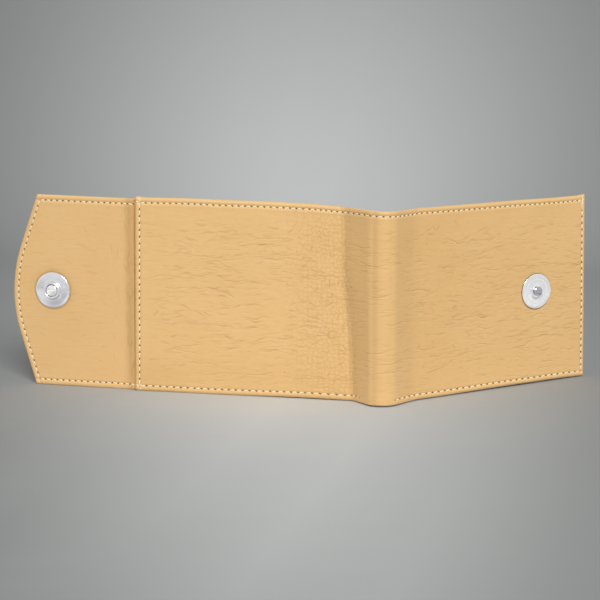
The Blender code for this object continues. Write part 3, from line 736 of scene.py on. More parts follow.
def cover_relief(along, height):
    """Relief, crease strength, painted shade and painted shadow rings of the cover's outer face."""
    break_starts = smooth_step(BOTTOM_BREAK_START - BREAK_SEWN_RUN,
                               BOTTOM_BREAK_START + BREAK_BARE_RUN, along)
    break_ends = smooth_step(BOTTOM_BREAK_END - BREAK_BARE_RUN,
                             BOTTOM_BREAK_END + BREAK_SEWN_RUN, along)
    sewn_foot = 1 - break_starts * (1 - break_ends)
    relief = (edge_roll(PANEL_HEIGHT - height, SEAM_INSET)
              + sewn_foot * edge_roll(height, SEAM_INSET)
              + edge_roll(along - BACK_EDGE, BACK_SEAM_INSET)
              + edge_roll(COVER_LENGTH - along, SIDE_SEAM_INSET))
    crease = grid_sample(cover_crease_field, RASTER, along, height)
    relief = relief - CREASE_DEPTH * crease
    relief = relief + grid_sample(cover_swells, RASTER, along, height)
    from_stud = np.hypot(along - FOLD_FRONT - STUD_PLACE - STUD_SHIFT, height - SNAP_HEIGHT)
    dent, rim = pressed_round(from_stud, STUD_PLATE_RADIUS)
    # Painted shade: darker low on the back panel, and along the spine and across the front panel
    foot = FOOT_PAINTED_SHADE * (1 - smooth_step(*FOOT_SHADE_HEIGHTS, height)) * (along < FOLD_BACK)
    painted_shade = np.interp(along, COVER_SHADE_PLACES, COVER_PAINTED_SHADES) + foot
    return relief + dent, crease, painted_shade, rim


def flap_relief(along, height):
    """Relief, crease strength, painted shade and painted shadow rings of the flap's outer face."""
    relief = (edge_roll(PANEL_HEIGHT - FLAP_INSET - height, SEAM_INSET)
              + edge_roll(height - FLAP_INSET, SEAM_INSET)
              + edge_roll(FLAP_END - along, SEAM_INSET))
    relief = relief + ROOT_SWELL * bell(along, ROOT_SWELL_PLACE, ROOT_SWELL_WIDTH)
    crease = grid_sample(flap_crease_field, RASTER, along, height)
    relief = relief - CREASE_DEPTH * crease
    relief = relief + FLAP_SWELL_SHARE * grid_sample(cover_swells, RASTER, along, height)
    # Painted shadow of the back panel's edge on the flap's root
    painted_shade = bell(along, ROOT_SHADOW_PLACE, ROOT_SHADOW_WIDTH)
    past, up = flap_past(along, height)
    rise = FLAP_FOOT + up * (FLAP_TOP + FLAP_TOP_RISE - FLAP_FOOT)
    away = np.hypot(past - ROOT_LENGTH - FLAP_SNAP - SNAP_SHIFT, rise - SNAP_HEIGHT - SNAP_RAISE)
    dent, rim = pressed_round(away, CAP_RADIUS)
    # Painted shadow in a soft ring round the flap's cap
    painted_shade = painted_shade + CAP_PAINTED_SHADOW * bell(away, CAP_RADIUS, CAP_SHADOW_WIDTH)
    return relief + dent, crease, painted_shade, CAP_SHADE * rim


def plain_relief(along, height):
    """No relief at all."""
    none = np.zeros_like(along)
    return none, none, none, none


def unique_faces(quads):
    """Quads as they are, and triangles where two neighbouring corners are one vertex."""
    keep = quads != np.roll(quads, -1, axis=1)
    corners = keep.sum(axis=1)
    fours = quads[corners == 4]
    threes = quads[corners == 3][keep[corners == 3]].reshape(-1, 3)
    return fours.tolist() + threes.tolist()


def drop_repeats(loop):
    """A polygon without the corners that repeat the one before."""
    return [loop[i] for i in range(len(loop)) if loop[i] != loop[i - 1]]


def perimeter(shares_a, shares_z, face, free):
    """Columns round a face grid, in order: bottom, far end, top, near end. A free end brings its
    side and two round corners, and other ends leave a break.

    Each column has its share along and up, the way that it points out and the face's own vertex.
    Besides these come whether each is joined to the next, the number of its corner (or -1), and
    where the top side starts and ends.
    """
    columns = []

    def side(share_a, share_z, way, ids):
        block = np.zeros((len(ids), 5))
        block[:, 0] = share_a
        block[:, 1] = share_z
        block[:, 2:4] = way
        block[:, 4] = ids
        columns.append(block)

    def corner(share_a, share_z, start, vertex):
        angles = start + np.linspace(0, math.pi / 2, CORNER_STEPS + 1)[1:-1]
        way = np.stack([np.cos(angles), np.sin(angles)], axis=1)
        side(share_a, share_z, way, np.full(len(angles), vertex))

    near_free, far_free = free
    side(shares_a, 0.0, (0, -1), face[:, 0])
    if far_free:
        corner(1.0, 0.0, -math.pi / 2, face[-1, 0])
        side(1.0, shares_z, (1, 0), face[-1, :])
        corner(1.0, 1.0, 0.0, face[-1, -1])
    top_start = sum(len(block) for block in columns)
    side(shares_a[::-1], 1.0, (0, 1), face[::-1, -1])
    top_end = sum(len(block) for block in columns)
    if near_free:
        corner(0.0, 1.0, math.pi / 2, face[0, -1])
        side(0.0, shares_z[::-1], (-1, 0), face[0, ::-1])
        corner(0.0, 0.0, math.pi, face[0, 0])
    table = np.concatenate(columns)
    joined = np.ones(len(table), bool)
    if not far_free:
        joined[top_start - 1] = False
    if not near_free:
        joined[-1] = False
    number = np.full(len(table), -1)
    for value, (a, z, is_free) in enumerate(((1.0, 0.0, far_free), (1.0, 1.0, far_free),
                                             (0.0, 1.0, near_free), (0.0, 0.0, near_free))):
        if is_free:
            number[(table[:, 0] == a) & (table[:, 1] == z)] = value
    return table, joined, number, top_start, top_end


def shell(near, far, low, high, free, step, corner, profile):
    """Topology and flat places of a closed thin sheet with turned or rounded edges.

    A grid covers the fine face, inset from its free edges. Rings of vertices go from the grid's
    border outward, over the rim and in again on the other side, at the insets of the profile, and
    strips from bottom to top close that side. Returns lengths, heights, depths (none on the
    grid), each vertex's share of the relief, and the faces.
    """
    shares_a = np.linspace(0.0, 1.0, max(2, round((far - near) / step)) + 1)
    shares_z = np.linspace(0.0, 1.0, max(2, round((high - low) / step)) + 1)
    near_free, far_free = free
    start = near + FACE_INSET * near_free
    end = far - FACE_INSET * far_free
    grid_a, grid_z = np.meshgrid(start + shares_a * (end - start),
                                 low + FACE_INSET + shares_z * (high - low - 2 * FACE_INSET),
                                 indexing="ij")
    face = np.arange(grid_a.size).reshape(grid_a.shape)
    table, joined, number, top_start, top_end = perimeter(shares_a, shares_z, face, free)
    column_a = start + table[:, 0] * (end - start)
    rings = [table[:, 4].astype(int)]
    along = [grid_a.ravel()]
    height = [grid_z.ravel()]
    depth = [np.full(grid_a.size, np.nan)]
    weight = [np.ones(grid_a.size)]
    base = grid_a.size
    for inset, ring_depth, ring_weight in profile(column_a):
        margin = np.maximum(inset, corner)
        low_a = near + margin * near_free
        high_a = far - margin * far_free
        ring_a = low_a + table[:, 0] * (high_a - low_a) + table[:, 2] * (margin - inset)
        ring_z = (low + margin + table[:, 1] * (high - low - 2 * margin)
                  + table[:, 3] * (margin - inset))
        ids = base + np.arange(len(table))
        for value in range(4):
            members = np.flatnonzero((number == value) & (inset >= corner))
            if len(members):
                ids[members] = ids[members[0]]
        rings.append(ids)
        along.append(ring_a)
        height.append(ring_z)
        depth.append(ring_depth)
        weight.append(np.full(len(table), ring_weight))
        base += len(table)
    rings = np.array(rings)
    quads = [np.stack([face[:-1, :-1], face[1:, :-1], face[1:, 1:], face[:-1, 1:]],
                      axis=-1).reshape(-1, 4)]
    after = np.roll(rings, -1, axis=1)
    for upper, upper_next, lower, lower_next in zip(rings[:-1], after[:-1], rings[1:], after[1:]):
        quads.append(np.stack([upper, lower, lower_next, upper_next], axis=1)[joined])
    last = rings[-1]
    bottom = last[:len(shares_a)]
    top = last[top_start:top_end][::-1]
    quads.append(np.stack([bottom[:-1], top[:-1], top[1:], bottom[1:]], axis=1))
    faces = unique_faces(np.concatenate(quads))
    if far_free:
        faces.append(drop_repeats(last[len(shares_a) - 1:top_start + 1].tolist()))
    else:
        faces.append(face[-1, :].tolist() + rings[1:, top_start].tolist()
                     + rings[:0:-1, len(shares_a) - 1].tolist())
    if near_free:
        faces.append(drop_repeats(last[top_end - 1:].tolist() + [int(last[0])]))
    else:
        faces.append(face[0, :].tolist() + rings[1:, top_end - 1].tolist()
                     + rings[:0:-1, 0].tolist())
    return (np.concatenate(along), np.concatenate(height), np.concatenate(depth),
            np.concatenate(weight), faces)


def round_rim(front, back, shares, steps):
    """Rows of inset, depth and share of the relief: in from the grid's border on the fine face,
    and over a half-round rim. The rim's radius r is half the thickness, and at a turn from 0 to
    pi it lies r - r sin(turn) inside the edge and (half the thickness) cos(turn) off its middle.
    """
    radius = np.abs(front - back) / 2
    middle = (front + back) / 2
    half = (front - back) / 2
    rows = [(radius + share * (FACE_INSET - radius), front, 1.0) for share in shares]
    for turn in np.linspace(0.0, math.pi, steps + 1)[1:]:
        rows.append((radius - radius * math.sin(turn), middle + half * math.cos(turn),
                     max(0.0, math.cos(turn))))
    return rows


def turned_profile(outer, turned_in, turned_out, width):
    """Profile of leather turned over at its edge: the outer face, a half-round rim, the turned
    strip to its width and back under itself, and the inside of the outer leather."""

    def profile(along):
        inner = turned_in(along)
        under = turned_out(along)
        reach = width(along)
        wall = np.full_like(along, TURNED_WALL)
        inside = np.full_like(along, HALF_LEATHER)
        rows = round_rim(np.full_like(along, outer), inner, FINE_SHARES, RIM_STEPS)
        for inset, depth in ((reach - EDGE_ROUND, inner),
                             (reach, inner - (inner - under) / 2),
                             (reach - EDGE_ROUND, under),
                             (wall + EDGE_ROUND, under),
                             (wall, (under + inside) / 2),
                             (wall + EDGE_ROUND, inside),
                             (np.full_like(along, FACE_INSET), inside)):
            rows.append((inset, depth, 0.0))
        return rows

    return profile


def slab_profile(fine, plain):
    """Profile of a sheet with rounded edges: the fine face, a half-round rim, the plain face."""

    def profile(along):
        rows = round_rim(fine(along), plain(along), SHEET_SHARES, SHEET_RIM_STEPS)
        rows.append((np.full_like(along, FACE_INSET), plain(along), 0.0))
        return rows

    return profile


def finish_mesh(name, points, faces, material, flat=None, marks=None):
    """A piece from points and faces, smooth, with outward normals, a flat UV map and marks."""
    mesh = bpy.data.meshes.new(name)
    mesh.from_pydata(points.tolist(), [], faces)
    shape = bmesh.new()
    shape.from_mesh(mesh)
    loose = [vertex for vertex in shape.verts if not vertex.link_faces]
    keep = np.ones(len(points), bool)
    keep[[vertex.index for vertex in loose]] = False
    bmesh.ops.delete(shape, geom=loose, context="VERTS")
    bmesh.ops.recalc_face_normals(shape, faces=shape.faces)
    shape.to_mesh(mesh)
    shape.free()
    mesh.shade_smooth()
    mesh.set_sharp_from_angle(angle=SHARP_ANGLE)
    corner_vertex = np.zeros(len(mesh.loops), int)
    mesh.loops.foreach_get("vertex_index", corner_vertex)
    if flat is not None:
        layer = mesh.uv_layers.new(name="flat")
        layer.data.foreach_set("uv", flat[keep][corner_vertex].astype(np.float32).ravel())
    for key, values in (marks or {}).items():
        attribute = mesh.attributes.new(key, "FLOAT", "POINT")
        attribute.data.foreach_set("value", values[keep].astype(np.float32))
    piece = bpy.data.objects.new(name, mesh)
    bpy.context.scene.collection.objects.link(piece)
    mesh.materials.append(material)
    return piece


def leather_piece(name, place, near, far, low, high, free, profile, outer, relief, material,
                  rows=(), step=FACE_STEP, corner=SQUARE_CORNER, sign=-1.0, origin=0.0, way=1.0):
    """A leather shell placed by its sheet. Lengths inside the shell run from 0 at its near end,
    and origin + way * length is the place along the sheet."""
    along, height, depth, weight, faces = shell(near, far, low, high, free, step, corner, profile)
    on_grid = np.isnan(depth)
    depth[on_grid] = outer(along[on_grid])
    real = origin + way * along
    lift, crease, painted_shade, rim = relief(real, height)
    points = place(real, height, depth + sign * weight * lift)
    flat = np.stack([real, height], axis=1)
    run, off = seam_places(rows, real, height)
    marks = {"crease": crease * weight, "painted_shade": painted_shade * weight, "rim": rim * weight,
             "seam_run": run, "seam_off": np.where(weight > 0.5, off, 1.0)}
    return finish_mesh(name, points, faces, material, flat, marks)


def srgb(hex_colour):
    """Turn an sRGB hex string into linear red, green, blue and alpha."""
    channels = [int(hex_colour[i:i + 2], 16) / 255 for i in (0, 2, 4)]
    linear = [c / 12.92 if c <= 0.04045 else ((c + 0.055) / 1.055) ** 2.4 for c in channels]
    return (*linear, 1.0)


def connect(tree, node, inputs):
    """Set a node's inputs, in order or by name. Each is a value, an output to link from, or a
    node whose first output is linked."""
    named = inputs if isinstance(inputs, dict) else dict(enumerate(inputs))
    for key, value in named.items():
        source = value.outputs[0] if isinstance(value, bpy.types.Node) else value
        if isinstance(source, bpy.types.NodeSocket):
            tree.links.new(source, node.inputs[key])
        else:
            node.inputs[key].default_value = source


def add(tree, kind, inputs=(), **settings):
    """Add a node with its own settings and its inputs."""
    node = tree.nodes.new(kind)
    for key, value in settings.items():
        setattr(node, key, value)
    connect(tree, node, inputs)
    return node


def new_material(name):
    """A node material: its tree and its Principled shader."""
    material = bpy.data.materials.new(name)
    material.use_nodes = True
    tree = material.node_tree
    return material, tree, tree.nodes["Principled BSDF"]


def per_size(size):
    """Texture scale at which one cell has this size in metres."""
    return 1.0 / size


def per_band(pitch):
    """Scale of a wave texture, whose bands are sin(20 scale x), at which one comes per pitch."""
    return math.tau / (20.0 * pitch)


def crackle_lines(tree, flat):
    """Thin creases along the borders of cells whose places are stirred by a noise."""
    stir = add(tree, "ShaderNodeTexNoise",
               {"Vector": flat, "Scale": per_size(CRACKLE_CELL * CRACKLE_STIR_SIZE_SHARE),
                "Detail": 3.0, "Roughness": 0.6})
    shift = add(tree, "ShaderNodeVectorMath", (stir.outputs["Color"], (0.5, 0.5, 0.5)),
                operation="SUBTRACT")
    along, up = (CRACKLE_CELL * share for share in CRACKLE_STIR_SHARES)
    stirred = add(tree, "ShaderNodeVectorMath", (shift, (along, up, 0.0), flat),
                  operation="MULTIPLY_ADD")
    level = add(tree, "ShaderNodeMapping", {"Vector": stirred,
                                            "Scale": (1.0, CRACKLE_STRETCH, 1.0)})
    cells = add(tree, "ShaderNodeTexVoronoi",
                {"Vector": level, "Scale": per_size(CRACKLE_CELL),
                 "Randomness": CRACKLE_UNEVENNESS},
                feature="DISTANCE_TO_EDGE", voronoi_dimensions="2D")
    return add(tree, "ShaderNodeMapRange",
               (cells, 0.0, CRACKLE_WIDTH / CRACKLE_CELL * CRACKLE_STRETCH, 1.0, 0.0),
               interpolation_type="SMOOTHSTEP")


def level_lines(tree, flat, spacing, reach, sway, offset):
    """Masks of long level wrinkles of even width, which get painted shade, and of the pale lip
    below each, which gets a painted highlight: rows a spacing apart, which a noise stirs up and
    down and another breaks into lengths of about the reach."""
    place = add(tree, "ShaderNodeVectorMath", (flat, (offset, offset, 0.0)), operation="ADD")
    split = add(tree, "ShaderNodeSeparateXYZ", (place,))
    stir = add(tree, "ShaderNodeTexNoise", {"Vector": place, "Scale": per_size(reach),
                                            "Detail": 3.0, "Roughness": 0.42})
    swayed = add(tree, "ShaderNodeMath", (stir, sway, split.outputs["Y"]),
                 operation="MULTIPLY_ADD")
    rows = add(tree, "ShaderNodeMath", (swayed, per_size(spacing)), operation="MULTIPLY")
    number = add(tree, "ShaderNodeMath", (rows,), operation="FLOOR")
    share = add(tree, "ShaderNodeMath", (rows,), operation="FRACT")
    middle = add(tree, "ShaderNodeMath", (share, 0.5), operation="SUBTRACT")
    apart = add(tree, "ShaderNodeMath", (number, ROW_DIFFERENCE), operation="MULTIPLY")
    along = add(tree, "ShaderNodeMath", (split.outputs["X"], per_size(reach)),
                operation="MULTIPLY")
    lengths = add(tree, "ShaderNodeCombineXYZ", (along, apart))
    broken = add(tree, "ShaderNodeTexNoise", {"Vector": lengths, "Scale": WRINKLE_BREAKS,
                                              "Detail": 1.0})
    shown = add(tree, "ShaderNodeMapRange", (broken, *WRINKLE_SHOWN, 0.0, 1.0),
                interpolation_type="SMOOTHSTEP")
    masks = []
    for drop, breadth in ((0.0, 1.0), (LIP_DROP, LIP_SHARE)):
        below = add(tree, "ShaderNodeMath", (middle, drop * WRINKLE_WIDTH / spacing),
                    operation="ADD")
        away = add(tree, "ShaderNodeMath", (below,), operation="ABSOLUTE")
        mask = add(tree, "ShaderNodeMapRange",
                   (away, 0.0, breadth * WRINKLE_WIDTH / spacing, 1.0, 0.0),
                   interpolation_type="SMOOTHSTEP")
        masks.append(add(tree, "ShaderNodeMath", (mask, shown), operation="MULTIPLY"))
    return masks


def needle_holes(tree):
    """1 in the needle holes at the ends of the stitches, which lean like the stitches do."""
    run, off = (add(tree, "ShaderNodeAttribute", attribute_name=name).outputs["Fac"]
                for name in ("seam_run", "seam_off"))
    shifted = add(tree, "ShaderNodeMath", (run, 0.5), operation="ADD")
    share = add(tree, "ShaderNodeMath", (shifted,), operation="FRACT")
    middle = add(tree, "ShaderNodeMath", (share, 0.5), operation="SUBTRACT")
    past = add(tree, "ShaderNodeMath", (middle, MEAN_PITCH), operation="MULTIPLY")
    leaned = add(tree, "ShaderNodeMath", (off, HOLE_SLANT, past), operation="MULTIPLY_ADD")
    across = add(tree, "ShaderNodeCombineXYZ", (leaned, off))
    away = add(tree, "ShaderNodeVectorMath", (across,), operation="LENGTH")
    return add(tree, "ShaderNodeMapRange",
               (away.outputs["Value"], HOLE_RADIUS * HOLE_INNER_SHARE,
                HOLE_RADIUS * HOLE_OUTER_SHARE, 1.0, 0.0), interpolation_type="SMOOTHSTEP")


def leather_material(name, base, dark, pale, wrinkles):
    """Vegetable-tanned cowhide, drum-milled and waxed: a warm tan with fine level wrinkles,
    a crackle of small cells beside the spine, and a soft satin sheen. Shade is painted into its
    colour in the creases, wrinkles, crackle and folds, along the spine, low on the back panel,
    round the metal plates and in the needle holes, and a highlight is painted below each wrinkle."""
    material, tree, surface = new_material(name)
    flat = add(tree, "ShaderNodeUVMap", uv_map="flat")
    level = add(tree, "ShaderNodeMapping", {"Vector": flat, "Scale": (1.0, MOTTLE_STRETCH, 1.0)})
    tone = add(tree, "ShaderNodeTexNoise", {"Vector": flat, "Scale": per_size(TONE_SIZE),
                                            "Detail": 3.0})
    mottle = add(tree, "ShaderNodeTexNoise", {"Vector": level, "Scale": per_size(MOTTLE_SIZE),
                                              "Detail": 5.0, "Roughness": 0.65})
    patch = add(tree, "ShaderNodeTexNoise", {"Vector": flat, "Scale": per_size(PATCH_SIZE),
                                             "Detail": 2.0})
    place = add(tree, "ShaderNodeSeparateXYZ", (flat,))
    along = place.outputs["X"]
    fleck, rough, past_middle, before_ridge, patchy, below_top, past_edge = (
        add(tree, "ShaderNodeMapRange", (value, *span), interpolation_type="SMOOTHSTEP")
        for value, span in ((mottle, FLECK_SPAN), (mottle, ROUGHNESS_SPAN),
                            (along, CRACKLE_START_SPAN), (along, CRACKLE_END_SPAN),
                            (patch, WORN_PATCH_SPAN), (place.outputs["Y"], WORN_TOP_SPAN),
                            (along, WORN_EDGE_SPAN)))
    by_spine = add(tree, "ShaderNodeMath", (past_middle, before_ridge), operation="MULTIPLY")
    worn = add(tree, "ShaderNodeMath", (patchy, below_top), operation="MULTIPLY")
    worn = add(tree, "ShaderNodeMath", (worn, past_edge), operation="MULTIPLY")
    crackle = add(tree, "ShaderNodeMath", (crackle_lines(tree, flat), by_spine),
                  operation="MULTIPLY")
    lines = add(tree, "ShaderNodeMath", (crackle, CRACKLE_STRENGTH), operation="MULTIPLY")
    lip_highlights = 0.0
    for *row, strength in WRINKLE_ROWS:
        masks = []
        for mask, others in zip(level_lines(tree, flat, *row), (lines, lip_highlights)):
            shown = add(tree, "ShaderNodeMath", (mask, strength), operation="MULTIPLY")
            shown = add(tree, "ShaderNodeMath", (shown, worn), operation="MULTIPLY")
            masks.append(add(tree, "ShaderNodeMath", (shown, others), operation="MAXIMUM"))
        lines, lip_highlights = masks
    lines, lip_highlights = (add(tree, "ShaderNodeMath", (mask, wrinkles), operation="MULTIPLY")
                   for mask in (lines, lip_highlights))
    crease, painted_shade, rim = (add(tree, "ShaderNodeAttribute", attribute_name=mark).outputs["Fac"]
                         for mark in ("crease", "painted_shade", "rim"))
    holes = needle_holes(tree)
    # Colour: random tone and flecks, then a painted highlight below the wrinkles, painted shade in
    # the creases, wrinkles, crackle and folds, and painted shadow round the plates and in the
    # needle holes
    colour = srgb(base)
    for mask, strength, shade in ((tone, 1.0, pale), (fleck, 1.0, dark),
                                  (lip_highlights, LIP_HIGHLIGHT_STRENGTH, LIP_HIGHLIGHT_COLOUR), (painted_shade, PAINTED_SHADE_STRENGTH, dark),
                                  (crease, CREASE_SHADE_STRENGTH, dark), (lines, WRINKLE_SHADE_STRENGTH, dark),
                                  (rim, CONTACT_SHADOW_STRENGTH, PAINTED_SHADOW_BROWN),
                                  (holes, HOLE_SHADOW_STRENGTH, PAINTED_SHADOW_BROWN)):
        share = add(tree, "ShaderNodeMath", (mask, strength), operation="MULTIPLY")
        colour = add(tree, "ShaderNodeMix", {0: share, 6: colour, 7: srgb(shade)},
                     data_type="RGBA").outputs[2]
    grain = add(tree, "ShaderNodeTexVoronoi", {"Vector": flat, "Scale": per_size(GRAIN_SIZE)},
                feature="SMOOTH_F1")
    sunk_lines = add(tree, "ShaderNodeMath", (lines, WRINKLE_SINK), operation="MULTIPLY")
    sunk = add(tree, "ShaderNodeMath", (holes, HOLE_SINK, sunk_lines), operation="MULTIPLY_ADD")
    raised = add(tree, "ShaderNodeMath", (grain, GRAIN_RELIEF), operation="MULTIPLY")
    height = add(tree, "ShaderNodeMath", (raised, sunk), operation="SUBTRACT")
    bump = add(tree, "ShaderNodeBump", {"Height": height, "Distance": RELIEF_DISTANCE,
                                        "Strength": RELIEF_STRENGTH})
    connect(tree, surface, {"Base Color": colour, "Roughness": rough, "Normal": bump,
                            "IOR": 1.5})
    return material


def thread_material():
    """Waxed polyester thread, three plies twisted: cream, with fine slanting plies that catch
    the light one after another."""
    material, tree, surface = new_material("waxed_thread")
    flat = add(tree, "ShaderNodeUVMap", uv_map="flat")
    slanted = add(tree, "ShaderNodeMapping", {"Vector": flat, "Rotation": (0.0, 0.0, PLY_SLANT)})
    ply = add(tree, "ShaderNodeTexWave", {"Vector": slanted,
                                          "Scale": per_band(PLY_PITCH)}).outputs["Fac"]
    colour = add(tree, "ShaderNodeMix", {0: ply, 6: srgb("E6D0A4"), 7: srgb("FFF0D2")},
                 data_type="RGBA").outputs[2]
    bump = add(tree, "ShaderNodeBump", {"Height": ply, "Distance": 0.00005, "Strength": 0.6})
    connect(tree, surface, {"Base Color": colour, "Normal": bump, "Roughness": 0.6, "IOR": 1.5})
    return material


def lining_material():
    """Plain-woven cotton lining: brown, matt, with a thread showing every 1.6 mm, drawn coarser
    than the real 0.4 mm so that it shows."""
    material, tree, surface = new_material("woven_cotton_lining")
    flat = add(tree, "ShaderNodeUVMap", uv_map="flat")
    across, upright = (add(tree, "ShaderNodeTexWave", {"Vector": flat,
                                                       "Scale": per_band(WEAVE_PITCH),
                                                       "Distortion": 0.4},
                           bands_direction=way).outputs["Fac"] for way in "XY")
    weave = add(tree, "ShaderNodeMath", (across, upright), operation="MULTIPLY")
    slub = add(tree, "ShaderNodeTexNoise", {"Vector": flat, "Scale": per_size(SLUB_SIZE),
                                            "Detail": 4.0})
    colour = srgb("6B4E31")
    for share, shade in ((weave, "A07E58"), (slub, "8A6A48")):
        colour = add(tree, "ShaderNodeMix", {0: share, 6: colour, 7: srgb(shade)},
                     data_type="RGBA").outputs[2]
    bump = add(tree, "ShaderNodeBump", {"Height": weave, "Distance": 0.00012, "Strength": 0.7})
    connect(tree, surface, {"Base Color": colour, "Normal": bump, "Roughness": 0.85})
    return material


def board_material():
    """Pressed grey-brown paper board: matt, with short fibres and flecks."""
    material, tree, surface = new_material("pressed_board")
    flat = add(tree, "ShaderNodeUVMap", uv_map="flat")
    fibres = add(tree, "ShaderNodeMapping", {"Vector": flat, "Scale": (1.0, FIBRE_STRETCH, 1.0)})
    fleck = add(tree, "ShaderNodeTexNoise", {"Vector": fibres, "Scale": per_size(FIBRE_SIZE),
                                             "Detail": 6.0})
    colour = add(tree, "ShaderNodeMix", {0: fleck, 6: srgb("9C8868"), 7: srgb("D0BEA2")},
                 data_type="RGBA").outputs[2]
    bump = add(tree, "ShaderNodeBump", {"Height": fleck, "Distance": 0.00004, "Strength": 0.5})
    connect(tree, surface, {"Base Color": colour, "Normal": bump, "Roughness": 0.9})
    return material


def metal_material(name, colour, shade, low, high):
    """Nickel-plated pressed brass, or bare steel for the spring: polished to a cool mirror with
    faint rubbed patches."""
    material, tree, surface = new_material(name)
    place = add(tree, "ShaderNodeTexCoord").outputs["Object"]
    haze = add(tree, "ShaderNodeTexNoise", {"Vector": place, "Scale": per_size(HAZE_SIZE),
                                            "Detail": 4.0})
    rough = add(tree, "ShaderNodeMapRange", (haze, 0.3, 0.7, low, high))
    mixed = add(tree, "ShaderNodeMix", {0: haze, 6: srgb(colour), 7: srgb(shade)},
                data_type="RGBA").outputs[2]
    connect(tree, surface, {"Base Color": mixed, "Roughness": rough, "Metallic": 1.0})
    return material


outer_leather = leather_material("tan_cowhide", "E0B678", "A47436", "E5BC82", 1.0)
smooth_leather = leather_material("smooth_tan_cowhide", "E0B578", "A87C3C", "E5BC83", 0.36)
pocket_leather = leather_material("split_calf", "D6AA72", "9E7240", "DEB47E", 0.35)
waxed_thread = thread_material()
woven_lining = lining_material()
pressed_board = board_material()
# Lit and shaded copies of nickel: the stud's plate painted brighter, the rivet painted near white
# and the post painted darker, as painted reflections
nickel = metal_material("polished_nickel", "EAEAEE", "DEDEE3", 0.08, 0.18)
nickel_painted_brighter = metal_material("nickel_painted_brighter", "F3F4F3", "ECEDEC", 0.12, 0.2)
nickel_painted_white = metal_material("nickel_painted_white", "FEFEFC", "FAFAF8", 0.1, 0.16)
nickel_painted_darker = metal_material("nickel_painted_darker", "BCBCC1", "A6A6AC", 0.1, 0.2)
spring_steel = metal_material("spring_steel", "B8B8BC", "A6A6AA", 0.25, 0.35)


def panel_share(along):
    """1 on the panels and 0 on the spine's strips, changing across the outer creases."""
    return (1 - smooth_step(FOLD_BACK - THINNING_HALF, FOLD_BACK + THINNING_HALF, along)
            + smooth_step(FOLD_FRONT - THINNING_HALF, FOLD_FRONT + THINNING_HALF, along))


def wide_share(along):
    """1 where the turned strip is wide, on the panels away from the spine."""
    return (1 - smooth_step(FOLD_BACK - NARROW_FAR, FOLD_BACK - NARROW_NEAR, along)
            + smooth_step(FOLD_FRONT + NARROW_NEAR, FOLD_FRONT + NARROW_FAR, along))


def past_root(along):
    """0 on the flap's root strip and 1 on the flap, changing across the crease between them."""
    return smooth_step(ROOT_LENGTH - RAISED_BEFORE, ROOT_LENGTH + RAISED_PAST, along)


def between(first, second, share):
    """A value that goes from the first to the second with a share."""
    return lambda along: first + (second - first) * share(along)


def cover_profile(origin, way):
    """Profile of the cover's turned edge, for a shell that starts at origin and runs way."""

    def here(function):
        return lambda along: function(origin + way * along)

    return turned_profile(-HALF_LEATHER, here(between(WING_TURNED_IN, TURNED_IN, panel_share)),
                          here(between(WING_TURNED_OUT, TURNED_OUT, panel_share)),
                          here(between(WING_TURNED_WIDTH, TURNED_WIDTH, wide_share)))


def constant(value):
    """A depth that is the same all along."""
    return lambda along: np.full_like(along, value)


def place_at(place, along):
    """One point of a sheet halfway up, as a tuple."""
    point = place(np.array([along]), np.array([SNAP_HEIGHT]), np.array([0.0]))[0]
    return tuple(float(value) for value in point)


# Stretches of the cover: name, start, end, whether the end is free, the two bodies that it
# joins, and the crease and half the length that it bends over
COVER_STRETCHES = (
    ("back_cover", WING_BACK_MIDDLE, BACK_EDGE, True,
     ("back_panel", "spine_back_wing", FOLD_BACK, BEND_HALF)),
    ("spine_back", WING_BACK_MIDDLE, RIDGE_MIDDLE, False,
     ("spine_back_wing", "spine_ridge", RIDGE_BACK, RIDGE_BEND_HALF)),
    ("spine_front", RIDGE_MIDDLE, WING_FRONT_MIDDLE, False,
     ("spine_ridge", "spine_front_wing", RIDGE_FRONT, RIDGE_BEND_HALF)),
    ("front_cover", WING_FRONT_MIDDLE, COVER_LENGTH, True,
     ("spine_front_wing", "front_panel", FOLD_FRONT, BEND_HALF)),
)
ROOT_BEND = ("back_panel", "flap_root", 0.0, ROOT_BEND_HALF)
FLAP_BEND = ("flap_root", "flap", ROOT_LENGTH, FLAP_BEND_HALF)


def bend(piece, place, body_a, body_b, crease, half):
    """Bake a piece's placement into its mesh; the places at both ends of its bend go unused."""
    place_at(place, crease - half)
    place_at(place, crease + half)
    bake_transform(piece)


def make_cover_leather():
    """The outer leather, in four stretches that meet on flat places between the creases."""
    nodes = (("back_cover", "spine_back_wing_leather"), ("spine_ridge_leather",),
             ("spine_front_wing_leather",), ("front_cover",))
    for (name, start, end, free, fold), covered in zip(COVER_STRETCHES, nodes):
        way = 1.0 if end > start else -1.0
        corner = BACK_CORNER if end < start else SQUARE_CORNER
        piece = leather_piece(name + "_leather", on_cover, 0.0, abs(end - start), 0.0,
                              PANEL_HEIGHT, (False, free), cover_profile(start, way),
                              constant(-HALF_LEATHER), cover_relief, outer_leather,
                              COVER_ROWS, corner=corner, origin=start,
                              way=way)
        bend(piece, on_cover, *fold)
        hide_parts(*covered)


